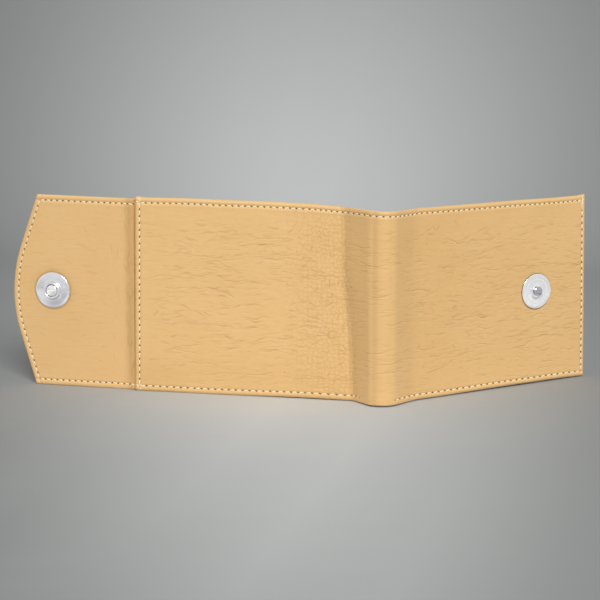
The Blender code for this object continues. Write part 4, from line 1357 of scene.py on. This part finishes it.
def stitch_mesh(rows, extras, place, seat, keep):
    """Points, faces and flat places of all stitches on some rows, and of extra ones given by
    their two ends, that lie between two lengths.

    Each stitch is a slim lens: rings of six along its length, whose width follows
    sqrt(1 - (0.93 t)^2) for t from -1 to 1, and whose line sinks by t^2 times a depth, so that
    both ends dive into their holes.
    """
    centres = []
    runs = []
    for row in rows:
        marks = row_marks(row, False)
        way = unit(np.array(row[1]) - np.array(row[0]))
        if abs(way[1]) < 0.5:
            way = np.array([way[0] * math.cos(STITCH_SLANT), math.sin(STITCH_SLANT)])
        centres.append(marks)
        runs.append(np.tile(way * STITCH_SHARE * row[2], (len(marks), 1)))
    for start, end in extras:
        centres.append((np.array([start]) + np.array([end])) / 2)
        runs.append(np.array([end]) - np.array([start]))
    centres = np.concatenate(centres)
    runs = np.concatenate(runs)
    inside = (centres[:, 0] >= keep[0]) & (centres[:, 0] < keep[1])
    centres = centres[inside]
    lengths = np.linalg.norm(runs[inside], axis=1)
    ways = runs[inside] / lengths[:, None]
    t = np.linspace(-1.0, 1.0, STITCH_RINGS)
    width = STITCH_WIDTH / 2 * np.sqrt(1 - (STITCH_TAPER * t) ** 2)
    rise = -STITCH_SINK * t ** 2
    angle = np.arange(STITCH_SIDES) * math.tau / STITCH_SIDES
    across = width[:, None] * np.cos(angle)[None, :]
    up = rise[:, None] + STITCH_HEIGHT / STITCH_WIDTH * width[:, None] * np.sin(angle)[None, :]
    run = lengths[:, None, None] / 2 * np.repeat(t[:, None], STITCH_SIDES, axis=1)[None]
    side = np.stack([-ways[:, 1], ways[:, 0]], axis=1)
    flat = (centres[:, None, None, :] + run[..., None] * ways[:, None, None, :]
            + across[None, :, :, None] * side[:, None, None, :])
    depth = seat(flat[..., 0], flat[..., 1]) - up
    points = place(flat[..., 0].ravel(), flat[..., 1].ravel(), depth.ravel())
    ring_size = STITCH_RINGS * STITCH_SIDES
    index = np.arange(ring_size).reshape(STITCH_RINGS, STITCH_SIDES)
    after = np.roll(index, -1, axis=1)
    quads = np.stack([index[:-1], after[:-1], after[1:], index[1:]], axis=-1).reshape(-1, 4)
    offsets = np.arange(len(centres)) * ring_size
    faces = (quads[None] + offsets[:, None, None]).reshape(-1, 4).tolist()
    faces += (index[0][None, ::-1] + offsets[:, None]).tolist()
    faces += (index[-1][None] + offsets[:, None]).tolist()
    around = np.broadcast_to((angle * STITCH_WIDTH / 2)[None, None, :], flat.shape[:3])
    return points, faces, np.stack([run.ravel(), around.ravel()], axis=1)


RIM_RADIUS = (HALF_LEATHER + TURNED_IN) / 2
# Single stitches over the edge at the ends of the rows, and the loose ones beside the break in
# the lower row, by their two ends
COVER_EXTRAS = (
    ((BACK_SEAM, TOP_ROW - 0.0004), (BACK_SEAM + 0.0006, PANEL_HEIGHT - 0.0002)),
    ((BACK_SEAM, TOP_ROW), (BACK_EDGE + 0.0002, TOP_ROW + 0.0004)),
    ((BACK_SEAM + 0.0004, SEAM_INSET), (BACK_EDGE + 0.0002, SEAM_INSET + 0.0003)),
    ((BACK_SEAM, SEAM_INSET + 0.0006), (BACK_SEAM + 0.0014, SEAM_INSET - 0.0004)),
    ((BACK_SEAM + 0.0004, SEAM_INSET - 0.0008), (BACK_SEAM + 0.0006, 0.0003)),
    ((BOTTOM_BREAK_START - 0.0062, SEAM_INSET + 0.0002),
     (BOTTOM_BREAK_START - 0.0032, SEAM_INSET + 0.0007)),
    ((BOTTOM_BREAK_START - 0.003, SEAM_INSET - 0.0002),
     (BOTTOM_BREAK_START, SEAM_INSET + 0.0003)),
    ((FRONT_SEAM, PANEL_HEIGHT - 0.0002), (FRONT_SEAM, PANEL_HEIGHT - LONG_STITCH)),
    ((FRONT_SEAM, TOP_ROW), (COVER_LENGTH - 0.0002, TOP_ROW + 0.0004)),
)


def cover_seat(along, height):
    """Depth of the leather under a stitch: level inside, and round the rim near a panel's edge,
    where it follows the circle middle - sqrt(r^2 - (r - e)^2) of the distance e to the edge."""
    edge = np.minimum(np.minimum(height, PANEL_HEIGHT - height),
                      np.minimum(along - BACK_EDGE, COVER_LENGTH - along))
    off = RIM_RADIUS - np.clip(edge, 0.0, RIM_RADIUS)
    middle = (TURNED_IN - HALF_LEATHER) / 2
    sunk = (HALF_LEATHER - OUTER_SEAT) * smooth_step(RIM_RADIUS, 2 * RIM_RADIUS, edge)
    return middle - np.sqrt(RIM_RADIUS ** 2 - off ** 2) + sunk


def make_cover_stitches():
    """Stitches of the cover, in the same four stretches as its leather."""
    nodes = (("back_seam_thread",), (), (), ("front_seam_thread",))
    for (name, start, end, _, fold), covered in zip(COVER_STRETCHES, nodes):
        limits = (min(start, end), max(start, end) if end < COVER_LENGTH else math.inf)
        points, faces, flat = stitch_mesh(COVER_ROWS, COVER_EXTRAS, on_cover, cover_seat, limits)
        piece = finish_mesh(name + "_stitches", points, faces, waxed_thread, flat)
        bend(piece, on_cover, *fold)
        if covered:
            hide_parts(*covered)


def snap_frames():
    """Centre and outward direction of the flap's snap and the front panel's stud."""
    flap_low, flap_high = (np.array(corner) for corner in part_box("snap_cap"))
    place, inward = plan(FLAP, np.array([ROOT_LENGTH + FLAP_SNAP + SNAP_SHIFT]))
    snap_out = np.array([-inward[0][0], -inward[0][1], 0.0])
    snap_centre = np.array([place[0][0], place[0][1],
                            (flap_low[2] + flap_high[2]) / 2 + SNAP_RAISE])
    place, _ = plan(COVER, np.array([FOLD_FRONT + STUD_PLACE + STUD_SHIFT]))
    stud_out = np.append(heading(FRONT_HEADING - math.pi / 2 - STUD_TURN), 0.0)
    stud_centre = np.array([place[0][0], place[0][1], SNAP_HEIGHT])
    return snap_centre, snap_out, stud_centre, stud_out


snap_centre, snap_out, stud_centre, stud_out = snap_frames()


def punch(piece, radius):
    """Cut a round hole through a piece of the flap, where its snap is riveted."""
    shape = bmesh.new()
    turn = Vector(snap_out).to_track_quat("Z", "Y").to_matrix().to_4x4()
    turn.translation = Vector(snap_centre)
    bmesh.ops.create_cone(shape, cap_ends=True, segments=PUNCH_SIDES, radius1=radius,
                          radius2=radius, depth=PUNCH_LENGTH, matrix=turn)
    cutter_mesh = bpy.data.meshes.new("punch")
    shape.to_mesh(cutter_mesh)
    shape.free()
    cutter = bpy.data.objects.new("punch", cutter_mesh)
    bpy.context.scene.collection.objects.link(cutter)
    cut = piece.modifiers.new("punch", "BOOLEAN")
    cut.operation = "DIFFERENCE"
    cut.object = cutter
    cut.solver = "EXACT"
    graph = bpy.context.evaluated_depsgraph_get()
    whole = piece.data
    piece.data = bpy.data.meshes.new_from_object(piece.evaluated_get(graph))
    piece.modifiers.clear()
    bpy.data.meshes.remove(whole)
    bpy.data.objects.remove(cutter)
    bpy.data.meshes.remove(cutter_mesh)


def make_flap_leather():
    """The flap's outer leather in two stretches: the sewn tail with half the root strip, and the
    other half with the flap."""

    def full(along):
        return smooth_step(THIN_START, THIN_END, along)

    outside = between(-TAIL_HALF_LEATHER, -HALF_LEATHER, full)
    root = leather_piece(
        "flap_root_leather_strip", on_flap, -FLAP_TAIL, ROOT_MIDDLE, FLAP_INSET,
        PANEL_HEIGHT - FLAP_INSET, (False, False),
        slab_profile(outside, between(TAIL_HALF_LEATHER, HALF_LEATHER, full)), outside,
        root_relief, smooth_leather, FLAP_ROWS)
    bend(root, on_flap, *ROOT_BEND)
    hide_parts("flap_sewn_tail", "flap_root_leather")
    profile = turned_profile(
        -HALF_LEATHER, between(HALF_LEATHER + ROOT_TURNED_IN_GAP, FLAP_TURNED_IN, past_root),
        between(HALF_LEATHER + ROOT_TURNED_OUT_GAP, FLAP_TURNED_OUT, past_root),
        between(ROOT_TURNED_WIDTH, FLAP_TURNED_WIDTH, past_root))
    piece = leather_piece(
        "flap_outer_leather", on_flap, ROOT_MIDDLE, FLAP_END, FLAP_INSET,
        PANEL_HEIGHT - FLAP_INSET, (False, True), profile, constant(-HALF_LEATHER), flap_relief,
        smooth_leather, FLAP_ROWS)
    punch(piece, RIVET_RADIUS + RIVET_GAP)
    bend(piece, on_flap, *FLAP_BEND)
    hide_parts("flap_leather")


def root_relief(along, height):
    """The flap's relief, fading out on the sewn tail."""
    relief, crease, painted_shade, rim = flap_relief(along, height)
    fade = smooth_step(TAIL_FADE_START, TAIL_FADE_END, along)
    return relief * fade, crease * fade, painted_shade, rim


def flap_seat(along, height):
    """Depth of the leather under the flap's stitches, with the swell beside the panel's edge."""
    return -OUTER_SEAT - ROOT_SWELL * bell(along, ROOT_SWELL_PLACE, ROOT_SWELL_WIDTH)


def make_flap_stitches():
    """Stitches of the flap, on its root strip and on the flap."""
    for name, limits, fold in (("flap_root_stitches", (-FLAP_TAIL, ROOT_MIDDLE), ROOT_BEND),
                               ("flap_stitches", (ROOT_MIDDLE, math.inf), FLAP_BEND)):
        points, faces, flat = stitch_mesh(FLAP_ROWS, (), on_flap, flap_seat, limits)
        piece = finish_mesh(name, points, faces, waxed_thread, flat)
        bend(piece, on_flap, *fold)
        if fold is FLAP_BEND:
            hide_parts("flap_seam_thread")


def sheet_piece(name, place, near, far, low, high, free, fine, plain, material, relief,
                step=SHEET_STEP):
    """A thin inner sheet whose fine face looks inward."""
    profile = slab_profile(fine, plain)
    return leather_piece(name, place, near, far, low, high, free, profile, fine, relief,
                         material, step=step, corner=INNER_CORNER, sign=1.0)


def pocket_relief(near, far, low, high):
    """A pocket's face: a low bulge, and a line pressed below its open edge."""

    def relief(along, height):
        across = np.clip((along - near) / (far - near), 0, 1)
        up = np.clip((height - low) / (high - low), 0, 1)
        bulge = POCKET_BULGE * np.sin(math.pi * across) * np.sin(math.pi * up)
        pressed = bell(height, high - PRESSED_LINE_INSET, PRESSED_LINE_WIDTH)
        none = np.zeros_like(along)
        # The pressed line's crease mark also paints shade into its groove
        return bulge - PRESSED_LINE_DEPTH * pressed, 0.5 * pressed, none, none

    return relief


def make_panel_inside(prefix, free_edge, fold, body):
    """Board, divider and two card pockets of one panel."""
    way = 1.0 if fold > free_edge else -1.0
    edge = free_edge + way * INNER_INSET
    sheets = (
        ("_board", free_edge + way * BOARD_INSET, fold - way * BOARD_SETBACK, BOARD_INSET,
         PANEL_HEIGHT - BOARD_INSET, BOARD_OUT, BOARD_IN - BOARD_OUT, pressed_board,
         "card_board"),
        ("_divider", edge, fold - way * BOARD_SETBACK, INNER_INSET, DIVIDER_TOP, DIVIDER_OUT,
         POCKET_LEATHER, pocket_leather, "pocket_leather"),
        ("_upper_card_pocket", edge, fold - way * POCKET_CREASE_INSET, INNER_INSET,
         UPPER_POCKET_TOP, UPPER_POCKET_OUT, POCKET_LEATHER, pocket_leather, "pocket_leather"),
        ("_lower_card_pocket", edge, fold - way * POCKET_CREASE_INSET, INNER_INSET,
         LOWER_POCKET_TOP, LOWER_POCKET_OUT, POCKET_LEATHER, pocket_leather, "pocket_leather"),
    )
    for suffix, start, end, low, high, outer, thickness, material, slot in sheets:
        near = min(start, end)
        far = max(start, end)
        relief = plain_relief if suffix == "_board" else pocket_relief(near, far, low, high)
        piece = sheet_piece(prefix + suffix + "_sheet", on_cover, near, far, low, high,
                            (True, True), constant(outer + thickness), constant(outer), material,
                            relief)
        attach(piece, body)
        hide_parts(prefix + suffix)


def make_linings():
    """The woven lining, in four stretches like the cover, stepping down to the spine."""
    fine = between(WING_LINING_IN, LINING_IN, panel_share)
    plain = between(WING_LINING_OUT, LINING_OUT, panel_share)
    low = INNER_INSET
    high = PANEL_HEIGHT - INNER_INSET
    back_end = INNER_INSET + FLAP_TAIL
    nodes = (("back_lining", "spine_back_wing_lining"), ("spine_ridge_lining",),
             ("spine_front_wing_lining",), ("front_lining",))
    for (name, start, end, free, fold), covered in zip(COVER_STRETCHES, nodes):
        near = min(start, end)
        far = max(start, end)
        if free and near == BACK_EDGE:
            near = back_end
        if free and far == COVER_LENGTH:
            far = COVER_LENGTH - INNER_INSET
        ends = (free and start > end, free and end > start)
        piece = sheet_piece(name + "_lining_cloth", on_cover, near, far, low, high, ends, fine,
                            plain, woven_lining, plain_relief)
        bend(piece, on_cover, *fold)
        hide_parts(*covered)


def make_flap_inside():
    """Stiffener and lining of the flap, with the root strip's lining."""
    low = FLAP_INSET + FLAP_LINING_INSET
    high = PANEL_HEIGHT - low
    stiff_low = FLAP_INSET + FLAP_STIFFENER_INSET
    stiffener = sheet_piece("flap_stiffener_board", on_flap, ROOT_LENGTH + BOARD_SETBACK,
                            FLAP_END - FLAP_STIFFENER_INSET, stiff_low, PANEL_HEIGHT - stiff_low,
                            (True, True), constant(FLAP_STIFFENER_IN),
                            constant(FLAP_STIFFENER_OUT), pressed_board,
                            plain_relief)
    punch(stiffener, SOCKET_RADIUS + SOCKET_GAP)
    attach(stiffener, "flap")
    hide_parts("flap_stiffener")

    fine = between(ROOT_LINING_IN, FLAP_LINING_IN, past_root)
    plain = between(ROOT_LINING_OUT, FLAP_LINING_OUT, past_root)
    root = sheet_piece("flap_root_inner_leather", on_flap, ROOT_LINING_START, ROOT_MIDDLE, low,
                       high, (True, False), fine, plain, pocket_leather,
                       plain_relief)
    bend(root, on_flap, *ROOT_BEND)
    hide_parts("flap_root_lining")
    lining = sheet_piece("flap_inner_leather", on_flap, ROOT_MIDDLE,
                         FLAP_END - FLAP_LINING_INSET, low, high, (False, True), fine, plain,
                         pocket_leather, plain_relief)
    punch(lining, SOCKET_RADIUS + SOCKET_GAP)
    bend(lining, on_flap, *FLAP_BEND)
    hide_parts("flap_lining")


def turned_piece(name, node, profile, closed, material, axis):
    """A lathe piece: a profile of radius and rise, turned about an axis, which is a centre, an
    outward direction and the body that it rides on.

    Each profile point goes round a circle of its radius in the plane across the axis, and moves
    along the axis by its rise. Points of zero radius are one pole vertex.
    """
    centre, outward, body = axis
    profile = np.array(profile)
    angle = np.arange(TURN_STEPS) * math.tau / TURN_STEPS
    up = np.array([0.0, 0.0, 1.0])
    side = np.cross(outward, up)
    ring = side[None] * np.cos(angle)[:, None] + up[None] * np.sin(angle)[:, None]
    points = (np.array(centre) + profile[:, 1][:, None, None] * outward
              + profile[:, 0][:, None, None] * ring[None])
    index = np.arange(len(profile) * TURN_STEPS).reshape(len(profile), TURN_STEPS)
    poles = profile[:, 0] == 0.0
    index[poles] = index[poles][:, :1]
    rows = np.concatenate([index, index[:1]]) if closed else index
    after = np.roll(rows, -1, axis=1)
    quads = np.stack([rows[:-1], rows[1:], after[1:], after[:-1]], axis=-1).reshape(-1, 4)
    piece = finish_mesh(name, points.reshape(-1, 3), unique_faces(quads), material)
    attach(piece, body)
    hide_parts(node)


def arc(centre_r, centre_h, radius, start, end, steps):
    """Points of a round edge in a lathe profile, by angles in degrees."""
    angles = np.radians(np.linspace(start, end, steps))
    return [(max(0.0, centre_r + radius * math.cos(a)), centre_h + radius * math.sin(a))
            for a in angles]


def make_flap_snap():
    """Cap, rivet, socket and spring of the flap's snap."""
    axis = (snap_centre, snap_out, "flap")
    bore = RIVET_RADIUS + BORE_GAP
    cap = ([(bore, CAP_FOOT), (bore, COLLAR_TOP - COLLAR_ROUND)]
           + arc(bore + COLLAR_ROUND, COLLAR_TOP - COLLAR_ROUND, COLLAR_ROUND, 180, 90, 8)
           + arc(COLLAR_RADIUS - COLLAR_ROUND, COLLAR_TOP - COLLAR_ROUND, COLLAR_ROUND, 90, 0, 8)
           + arc(COLLAR_RADIUS + COLLAR_FILLET, CAP_TOP + COLLAR_FILLET_RISE, COLLAR_FILLET,
                 180, 268, 6)
           + [(radius, CAP_TOP - drop) for radius, drop in CAP_CROWN]
           + arc(CAP_RADIUS - CAP_RIM, CAP_TOP - CAP_RIM_DROP, CAP_RIM, 80, -60, 10)
           + [(CAP_RADIUS - CAP_UNDERCUT, CAP_FOOT)])
    turned_piece("snap_ring_cap", "snap_cap", cap, True, nickel, axis)
    inner = RIVET_RADIUS - RIVET_WALL
    back = -HALF_LEATHER
    flare = back - SOCKET_PLATE / 2
    flare_back = flare - RIVET_FLARE_WALL
    rivet = ([(0.0, RIVET_TOP)]
             + arc(RIVET_RADIUS - RIVET_EDGE, RIVET_TOP - RIVET_EDGE, RIVET_EDGE, 90, 0, 5)
             + [(RIVET_RADIUS, flare), (RIVET_RADIUS + RIVET_FLARE, flare),
                (RIVET_RADIUS + RIVET_FLARE, flare_back), (inner, flare_back),
                (inner, RIVET_TOP - RIVET_WALL), (0.0, RIVET_TOP - RIVET_WALL)])
    turned_piece("snap_hollow_rivet", "snap_rivet", rivet, False, nickel_painted_white, axis)
    lip = -SOCKET_FACE + SOCKET_PLATE
    hollow = SOCKET_RADIUS - SOCKET_WALL
    socket = ([(bore, back)]
              + arc(SOCKET_RADIUS - SOCKET_BACK_EDGE, back - SOCKET_BACK_EDGE,
                    SOCKET_BACK_EDGE, 90, 0, 5)
              + arc(SOCKET_RADIUS - SOCKET_FACE_EDGE, -SOCKET_FACE + SOCKET_FACE_EDGE,
                    SOCKET_FACE_EDGE, 0, -90, 6)
              + arc(SOCKET_MOUTH + SOCKET_MOUTH_EDGE, -SOCKET_FACE + SOCKET_MOUTH_EDGE,
                    SOCKET_MOUTH_EDGE, -90, -180, 5)
              + [(SOCKET_MOUTH, lip), (hollow, lip), (hollow, back - SOCKET_PLATE / 3),
                 (bore, back - SOCKET_PLATE / 3)])
    turned_piece("snap_socket_body", "snap_socket", socket, True, nickel, axis)
    low = lip + BORE_GAP
    spring = [(SPRING_RADIUS, low + SPRING_THICKNESS), (hollow - BORE_GAP, low + SPRING_THICKNESS),
              (hollow - BORE_GAP, low), (SPRING_RADIUS, low)]
    turned_piece("snap_spring_ring", "snap_spring", spring, True, spring_steel,
                 axis)


def make_stud():
    """Plate, headed post and washer of the stud."""
    axis = (stud_centre, stud_out, "front_panel")
    bore = STUD_POST_RADIUS + BORE_GAP
    top = STUD_PLATE_TOP
    plate = ([(bore, STUD_PLATE_FOOT), (bore, top + STUD_BORE_RISE)]
             + arc(STUD_COLLAR_RADIUS - STUD_COLLAR_EDGE, top - STUD_COLLAR_DROP,
                   STUD_COLLAR_EDGE, 90, 10, 6)
             + [(radius, top - drop) for radius, drop in STUD_PLATE_DISH]
             + arc(STUD_PLATE_RADIUS - STUD_PLATE_EDGE, top - STUD_PLATE_EDGE, STUD_PLATE_EDGE,
                   90, 0, 6)
             + [(STUD_PLATE_RADIUS, STUD_PLATE_FOOT)])
    turned_piece("stud_base_plate", "stud_plate", plate, True, nickel_painted_brighter, axis)
    tip = top + STUD_HEIGHT
    half = STUD_HEAD_HEIGHT / 2
    angles = np.radians(np.linspace(90, -50, 16))
    post = [(0.0, tip)]
    post += [(STUD_HEAD_RADIUS * math.cos(a), tip - half + half * math.sin(a))
             for a in angles[1:]]
    post += [(STUD_POST_RADIUS, tip - STUD_HEAD_HEIGHT), (STUD_POST_RADIUS, -TURNED_IN),
             (0.0, -TURNED_IN)]
    turned_piece("stud_headed_post", "stud_post", post, False, nickel_painted_darker, axis)
    washer = [(bore, -TURNED_OUT), (STUD_WASHER_RADIUS - WASHER_EDGE, -TURNED_OUT),
              (STUD_WASHER_RADIUS, -TURNED_OUT - WASHER_EDGE),
              (STUD_WASHER_RADIUS, -TURNED_IN), (bore, -TURNED_IN)]
    turned_piece("stud_back_washer", "stud_washer", washer, True, nickel, axis)


def make_camera():
    """The camera at the photograph's view."""
    camera = bpy.data.objects.new("camera", bpy.data.cameras.new("camera"))
    bpy.context.scene.collection.objects.link(camera)
    flat = VIEW_DISTANCE * math.cos(VIEW_ELEVATION)
    camera.location = (VIEW_AIM[0] + flat * math.sin(VIEW_AZIMUTH),
                       VIEW_AIM[1] - flat * math.cos(VIEW_AZIMUTH),
                       VIEW_AIM[2] + VIEW_DISTANCE * math.sin(VIEW_ELEVATION))
    camera.rotation_euler = (math.pi / 2 - VIEW_ELEVATION, 0.0, VIEW_AZIMUTH)
    camera.data.sensor_width = SENSOR_WIDTH_MM
    camera.data.lens = SENSOR_WIDTH_MM * FOCAL_PX / PHOTO_SIZE_PX
    camera.data.shift_y = -CENTRE_RISE_PX / PHOTO_SIZE_PX
    camera.data.clip_start = NEAREST_SEEN
    bpy.context.scene.camera = camera


def grey_level(value):
    """Linear value of an sRGB grey from 0 to 255."""
    return ((value / 255 + 0.055) / 1.055) ** 2.4


def backdrop_tone(points):
    """Paint of the studio paper: an oval glow round the middle of the photograph's view.

    A point's place in the view is its offset across and up over its distance, times the focal
    length. The oval's radius is hypot(across, up / 1.45), and its grey follows a table.
    """
    aim = np.array([-math.sin(VIEW_AZIMUTH) * math.cos(VIEW_ELEVATION),
                    math.cos(VIEW_AZIMUTH) * math.cos(VIEW_ELEVATION), -math.sin(VIEW_ELEVATION)])
    across = np.array([math.cos(VIEW_AZIMUTH), math.sin(VIEW_AZIMUTH), 0.0])
    upward = np.cross(across, aim)
    away = points - (np.array(VIEW_AIM) - VIEW_DISTANCE * aim)
    ahead = np.maximum(away @ aim, NEAREST_AHEAD)
    offset = FOCAL_PX * np.hypot(away @ across / ahead,
                                 ((away @ upward) / ahead + CENTRE_RISE_PX / FOCAL_PX)
                                 / GLOW_HEIGHT_SHARE)
    return grey_level(np.interp(offset, GLOW_PX, GLOW_GREYS)) / PAPER_LIGHT


def make_stage():
    """A pale studio floor that curves up into a wall behind the wallet: a profile of depth and
    height, flat, then a quarter circle, then upright, carried straight across."""
    angles = np.linspace(0.0, math.pi / 2, COVE_ROWS)
    cove_start = STAGE_WALL - STAGE_COVE
    y = np.concatenate([np.linspace(-STAGE_HALF, cove_start, FLOOR_ROWS + 1)[:-1],
                        cove_start + STAGE_COVE * np.sin(angles),
                        np.full(WALL_ROWS, STAGE_WALL)])
    z = np.concatenate([np.zeros(FLOOR_ROWS), STAGE_COVE - STAGE_COVE * np.cos(angles),
                        np.linspace(STAGE_COVE, STAGE_TOP, WALL_ROWS + 1)[1:]])
    x = STAGE_HALF * np.linspace(-1.0, 1.0, STAGE_COLUMNS)
    points = np.stack([np.repeat(x[:, None], len(y), axis=1),
                       np.repeat(y[None], len(x), axis=0),
                       np.repeat(z[None], len(x), axis=0)], axis=-1).reshape(-1, 3)
    index = np.arange(len(points)).reshape(len(x), len(y))
    faces = np.stack([index[:-1, :-1], index[1:, :-1], index[1:, 1:], index[:-1, 1:]],
                     axis=-1).reshape(-1, 4)
    mesh = bpy.data.meshes.new("studio_floor")
    mesh.from_pydata(points.tolist(), [], faces.tolist())
    mesh.shade_smooth()
    mesh.attributes.new("tone", "FLOAT", "POINT").data.foreach_set(
        "value", backdrop_tone(points).astype(np.float32))
    floor = bpy.data.objects.new("studio_floor", mesh)
    bpy.context.scene.collection.objects.link(floor)
    mesh.materials.append(studio_paper())


def studio_paper():
    """Matt studio paper with its painted glow. In polished metal it shows as bright panels with
    a few soft darker ones between them, like the walls of a studio. Its back is clear, so that
    the wallet can be looked at from all round."""
    material, tree, surface = new_material("studio_paper")
    tone = add(tree, "ShaderNodeAttribute", attribute_name="tone").outputs["Fac"]
    tinted = add(tree, "ShaderNodeMix", {0: 1.0, 6: tone, 7: PAPER_TINT}, data_type="RGBA",
                 blend_type="MULTIPLY").outputs[2]
    connect(tree, surface, {"Base Color": tinted, "Roughness": 0.9, "Specular IOR Level": 0.0})
    place = add(tree, "ShaderNodeTexCoord").outputs["Object"]
    panels = add(tree, "ShaderNodeTexNoise", {"Vector": place,
                                              "Scale": per_size(STUDIO_PANEL_SIZE),
                                              "Detail": 1.0})
    bright = add(tree, "ShaderNodeMapRange", (panels, *STUDIO_PANEL_SPAN),
                 interpolation_type="SMOOTHSTEP")
    glow = add(tree, "ShaderNodeEmission", {"Color": bright})
    mirrored = add(tree, "ShaderNodeLightPath").outputs["Is Glossy Ray"]
    shown = add(tree, "ShaderNodeMixShader", (mirrored, surface, glow))
    behind = add(tree, "ShaderNodeNewGeometry").outputs["Backfacing"]
    clear = add(tree, "ShaderNodeBsdfTransparent")
    one_sided = add(tree, "ShaderNodeMixShader", (behind, shown, clear))
    connect(tree, tree.nodes["Material Output"], {"Surface": one_sided})
    return material


def make_light():
    """Even soft light from all round, and one soft box in front, a little right and above. In
    polished metal the surroundings show as a white studio."""
    world = bpy.data.worlds.new("studio")
    bpy.context.scene.world = world
    world.use_nodes = True
    tree = world.node_tree
    mirrored = add(tree, "ShaderNodeLightPath").outputs["Is Glossy Ray"]
    level = add(tree, "ShaderNodeMapRange", (mirrored, 0.0, 1.0, WORLD_LEVEL, WORLD_MIRRORED),
                interpolation_type="SMOOTHSTEP")
    connect(tree, tree.nodes["Background"], {"Color": srgb("FAFAFA"), "Strength": level})
    lamp = bpy.data.lights.new("soft_box", "AREA")
    lamp.shape = "SQUARE"
    lamp.size = KEY_SIZE
    lamp.energy = KEY_WATTS
    key = bpy.data.objects.new("soft_box", lamp)
    bpy.context.scene.collection.objects.link(key)
    toward = unit(np.array(VIEW_AIM) - np.array(KEY_PLACE))
    key.location = KEY_PLACE
    key.rotation_euler = (math.acos(-toward[2]), 0.0,
                          math.atan2(toward[1], toward[0]) - math.pi / 2)


make_cover_leather()
make_cover_stitches()
make_flap_leather()
make_flap_stitches()
make_linings()
make_panel_inside("back", 0.0, FOLD_BACK, "back_panel")
make_panel_inside("front", COVER_LENGTH, FOLD_FRONT, "front_panel")
make_flap_inside()
make_flap_snap()
make_stud()
make_camera()
make_stage()
make_light()
bpy.context.scene.view_settings.view_transform = "Standard"
